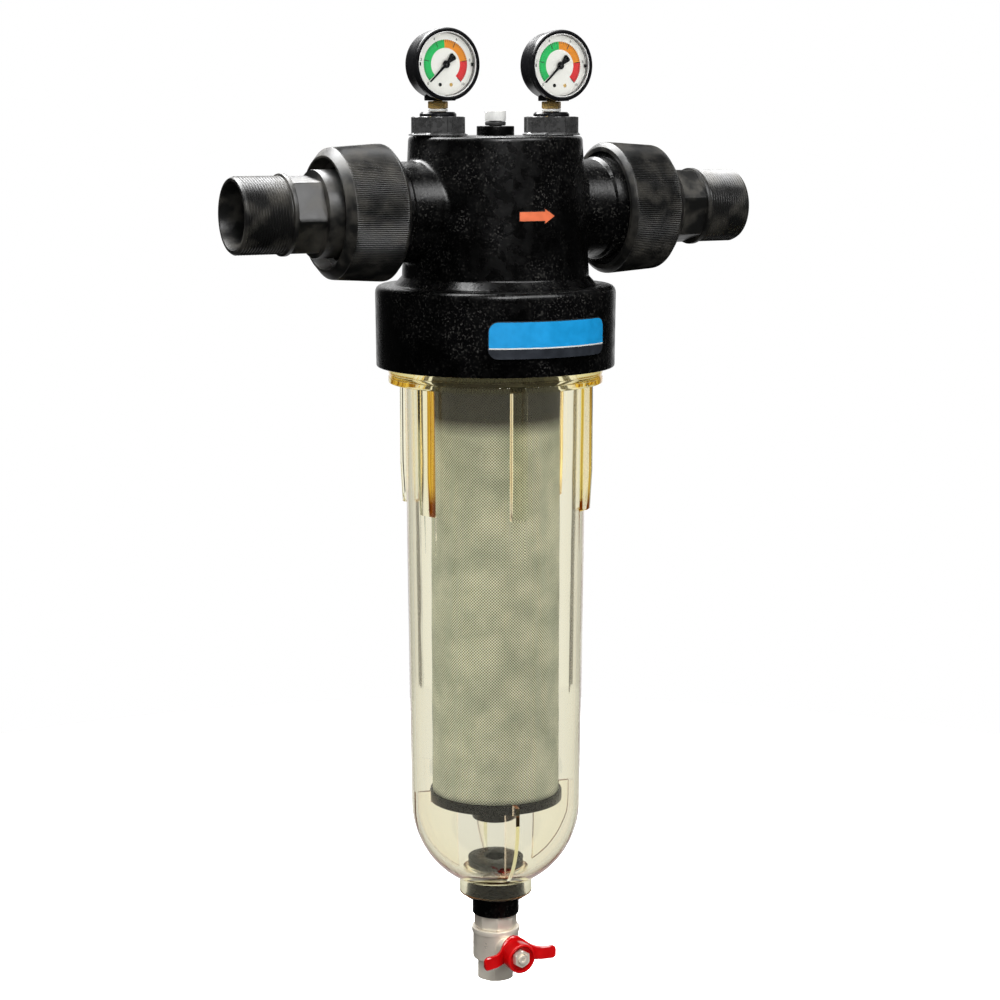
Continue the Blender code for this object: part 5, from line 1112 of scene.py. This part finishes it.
# Floor, light and camera
def world_light():
    """White behind the object, dark round it, and even light on what stands behind clear plastic."""
    world = bpy.data.worlds.new("studio")
    bpy.context.scene.world = world
    sky = Tree(world)
    coordinate = sky.node("ShaderNodeTexCoord").outputs["Generated"]
    level = sky.node("ShaderNodeVectorMath", {0: coordinate, 1: (1.0, 1.0, 0.0)}, operation="MULTIPLY")
    unit = sky.node("ShaderNodeVectorMath", {0: level.outputs["Vector"]}, operation="NORMALIZE")
    towards = {0: unit.outputs["Vector"], 1: (-0.469, -0.883, 0.0)}
    along = sky.node("ShaderNodeVectorMath", towards, operation="DOT_PRODUCT").outputs["Value"]
    path = sky.node("ShaderNodeLightPath").outputs

    def fade(*limits):
        return sky.span(along, *limits, interpolation_type="SMOOTHSTEP")

    mirrored = sky.choose(path["Is Diffuse Ray"], fade(-0.93, -0.87, 0.85, 0.02), 0.3)
    banded = sky.choose(fade(-0.962, -0.955, 0.0, 1.0), fade(-0.9815, -0.9785, 0.9, 0.0), 0.9)
    clear = sky.choose(path["Glossy Depth"], banded, 0.75)
    clear = sky.choose(path["Diffuse Depth"], clear, LIGHT_BEHIND_PLASTIC)
    strength = sky.choose(path["Is Transmission Ray"], mirrored, clear)
    strength = sky.choose(path["Is Camera Ray"], strength, 1.0)
    background = sky.tree.nodes["Background"]
    sky.feed(strength, background.inputs["Strength"])
    sky.feed((*WHITE, 1.0), background.inputs["Color"])


def softbox(name, place, aim, size, power, glossy=True):
    light = bpy.data.lights.new(name, "AREA")
    light.shape = "RECTANGLE"
    light.size = size[0]
    light.size_y = size[1]
    light.energy = power
    lamp = bpy.data.objects.new(name, light)
    bpy.context.scene.collection.objects.link(lamp)
    lamp.location = place
    lamp.rotation_euler = (Vector(aim) - Vector(place)).to_track_quat("-Z", "Y").to_euler()
    lamp.visible_camera = False
    lamp.visible_glossy = glossy
    lamp.visible_transmission = False


FLOOR_R = 1.2
FLOOR_Z = -720.0
FLOOR_GLOW = 0.6
FLOOR_THROUGH_PLASTIC = 0.84
CAMERA_TILT = 90.0 - 9.79
CAMERA_TURN = -28.12


def make_floor():
    mesh = bmesh.new()
    bmesh.ops.create_circle(mesh, cap_ends=True, segments=128, radius=FLOOR_R)
    ground = Finish("pale_floor", (0.9, 0.9, 0.9), 0.7)
    ground.mottle(3.0, 0.01)
    ground.put("Emission Color", (*WHITE, 1.0))
    path = ground.node("ShaderNodeLightPath").outputs
    ground.put("Emission Strength", ground.compute("MULTIPLY", path["Is Camera Ray"], FLOOR_GLOW))
    through = ground.node("ShaderNodeEmission", {"Strength": FLOOR_THROUGH_PLASTIC}).outputs["Emission"]
    shaders = {"Fac": path["Is Transmission Ray"], 1: ground.shader.outputs["BSDF"], 2: through}
    which = ground.node("ShaderNodeMixShader", shaders)
    ground.feed(which.outputs["Shader"], ground.tree.nodes["Material Output"].inputs["Surface"])
    floor = finish_object("floor", mesh, "pale_floor", (0.0, 0.0, FLOOR_Z))
    floor.visible_glossy = False
    floor.visible_diffuse = False


def make_studio():
    make_floor()
    world_light()
    centre = (0.0, 0.0, -0.2)
    softbox("front_fill", (-1.5, -2.3, 1.0), centre, (1.6, 1.6), 60.0, False)
    softbox("key_box", (0.55, -1.35, 1.45), ORIGIN, (1.2, 1.0), 40.0)
    softbox("left_box", (-0.32, -1.05, 0.8), (-0.13, 0.0, 0.0), (0.5, 0.5), 16.0)
    softbox("top_box", (-0.2, 0.45, 0.85), ORIGIN, (1.2, 0.8), 75.0)
    camera = bpy.data.cameras.new("camera")
    camera.sensor_width = 36.0
    camera.lens = 80.28
    camera.clip_end = 50.0
    eye = bpy.data.objects.new("camera", camera)
    bpy.context.scene.collection.objects.link(eye)
    eye.location = (-0.845, -1.589, 0.075)
    eye.rotation_euler = (math.radians(CAMERA_TILT), 0.0, math.radians(CAMERA_TURN))
    bpy.context.scene.camera = eye
    bpy.context.scene.view_settings.view_transform = "Standard"


make_finishes()
make_window()
make_amber()
make_weave()
make_head()
make_front_marks()
make_nipple("inlet", LEFT, math.radians(22.5))
make_nipple("outlet", RIGHT, math.radians(15.5))
make_nut("inlet", LEFT)
make_nut("outlet", RIGHT)
make_gauge("inlet", -GAUGE_X, math.radians(43.5))
make_gauge("outlet", GAUGE_X, math.radians(8.0))
make_vent()
make_bowl()
make_element()
make_drain()
paint_kept_nodes()
make_studio()
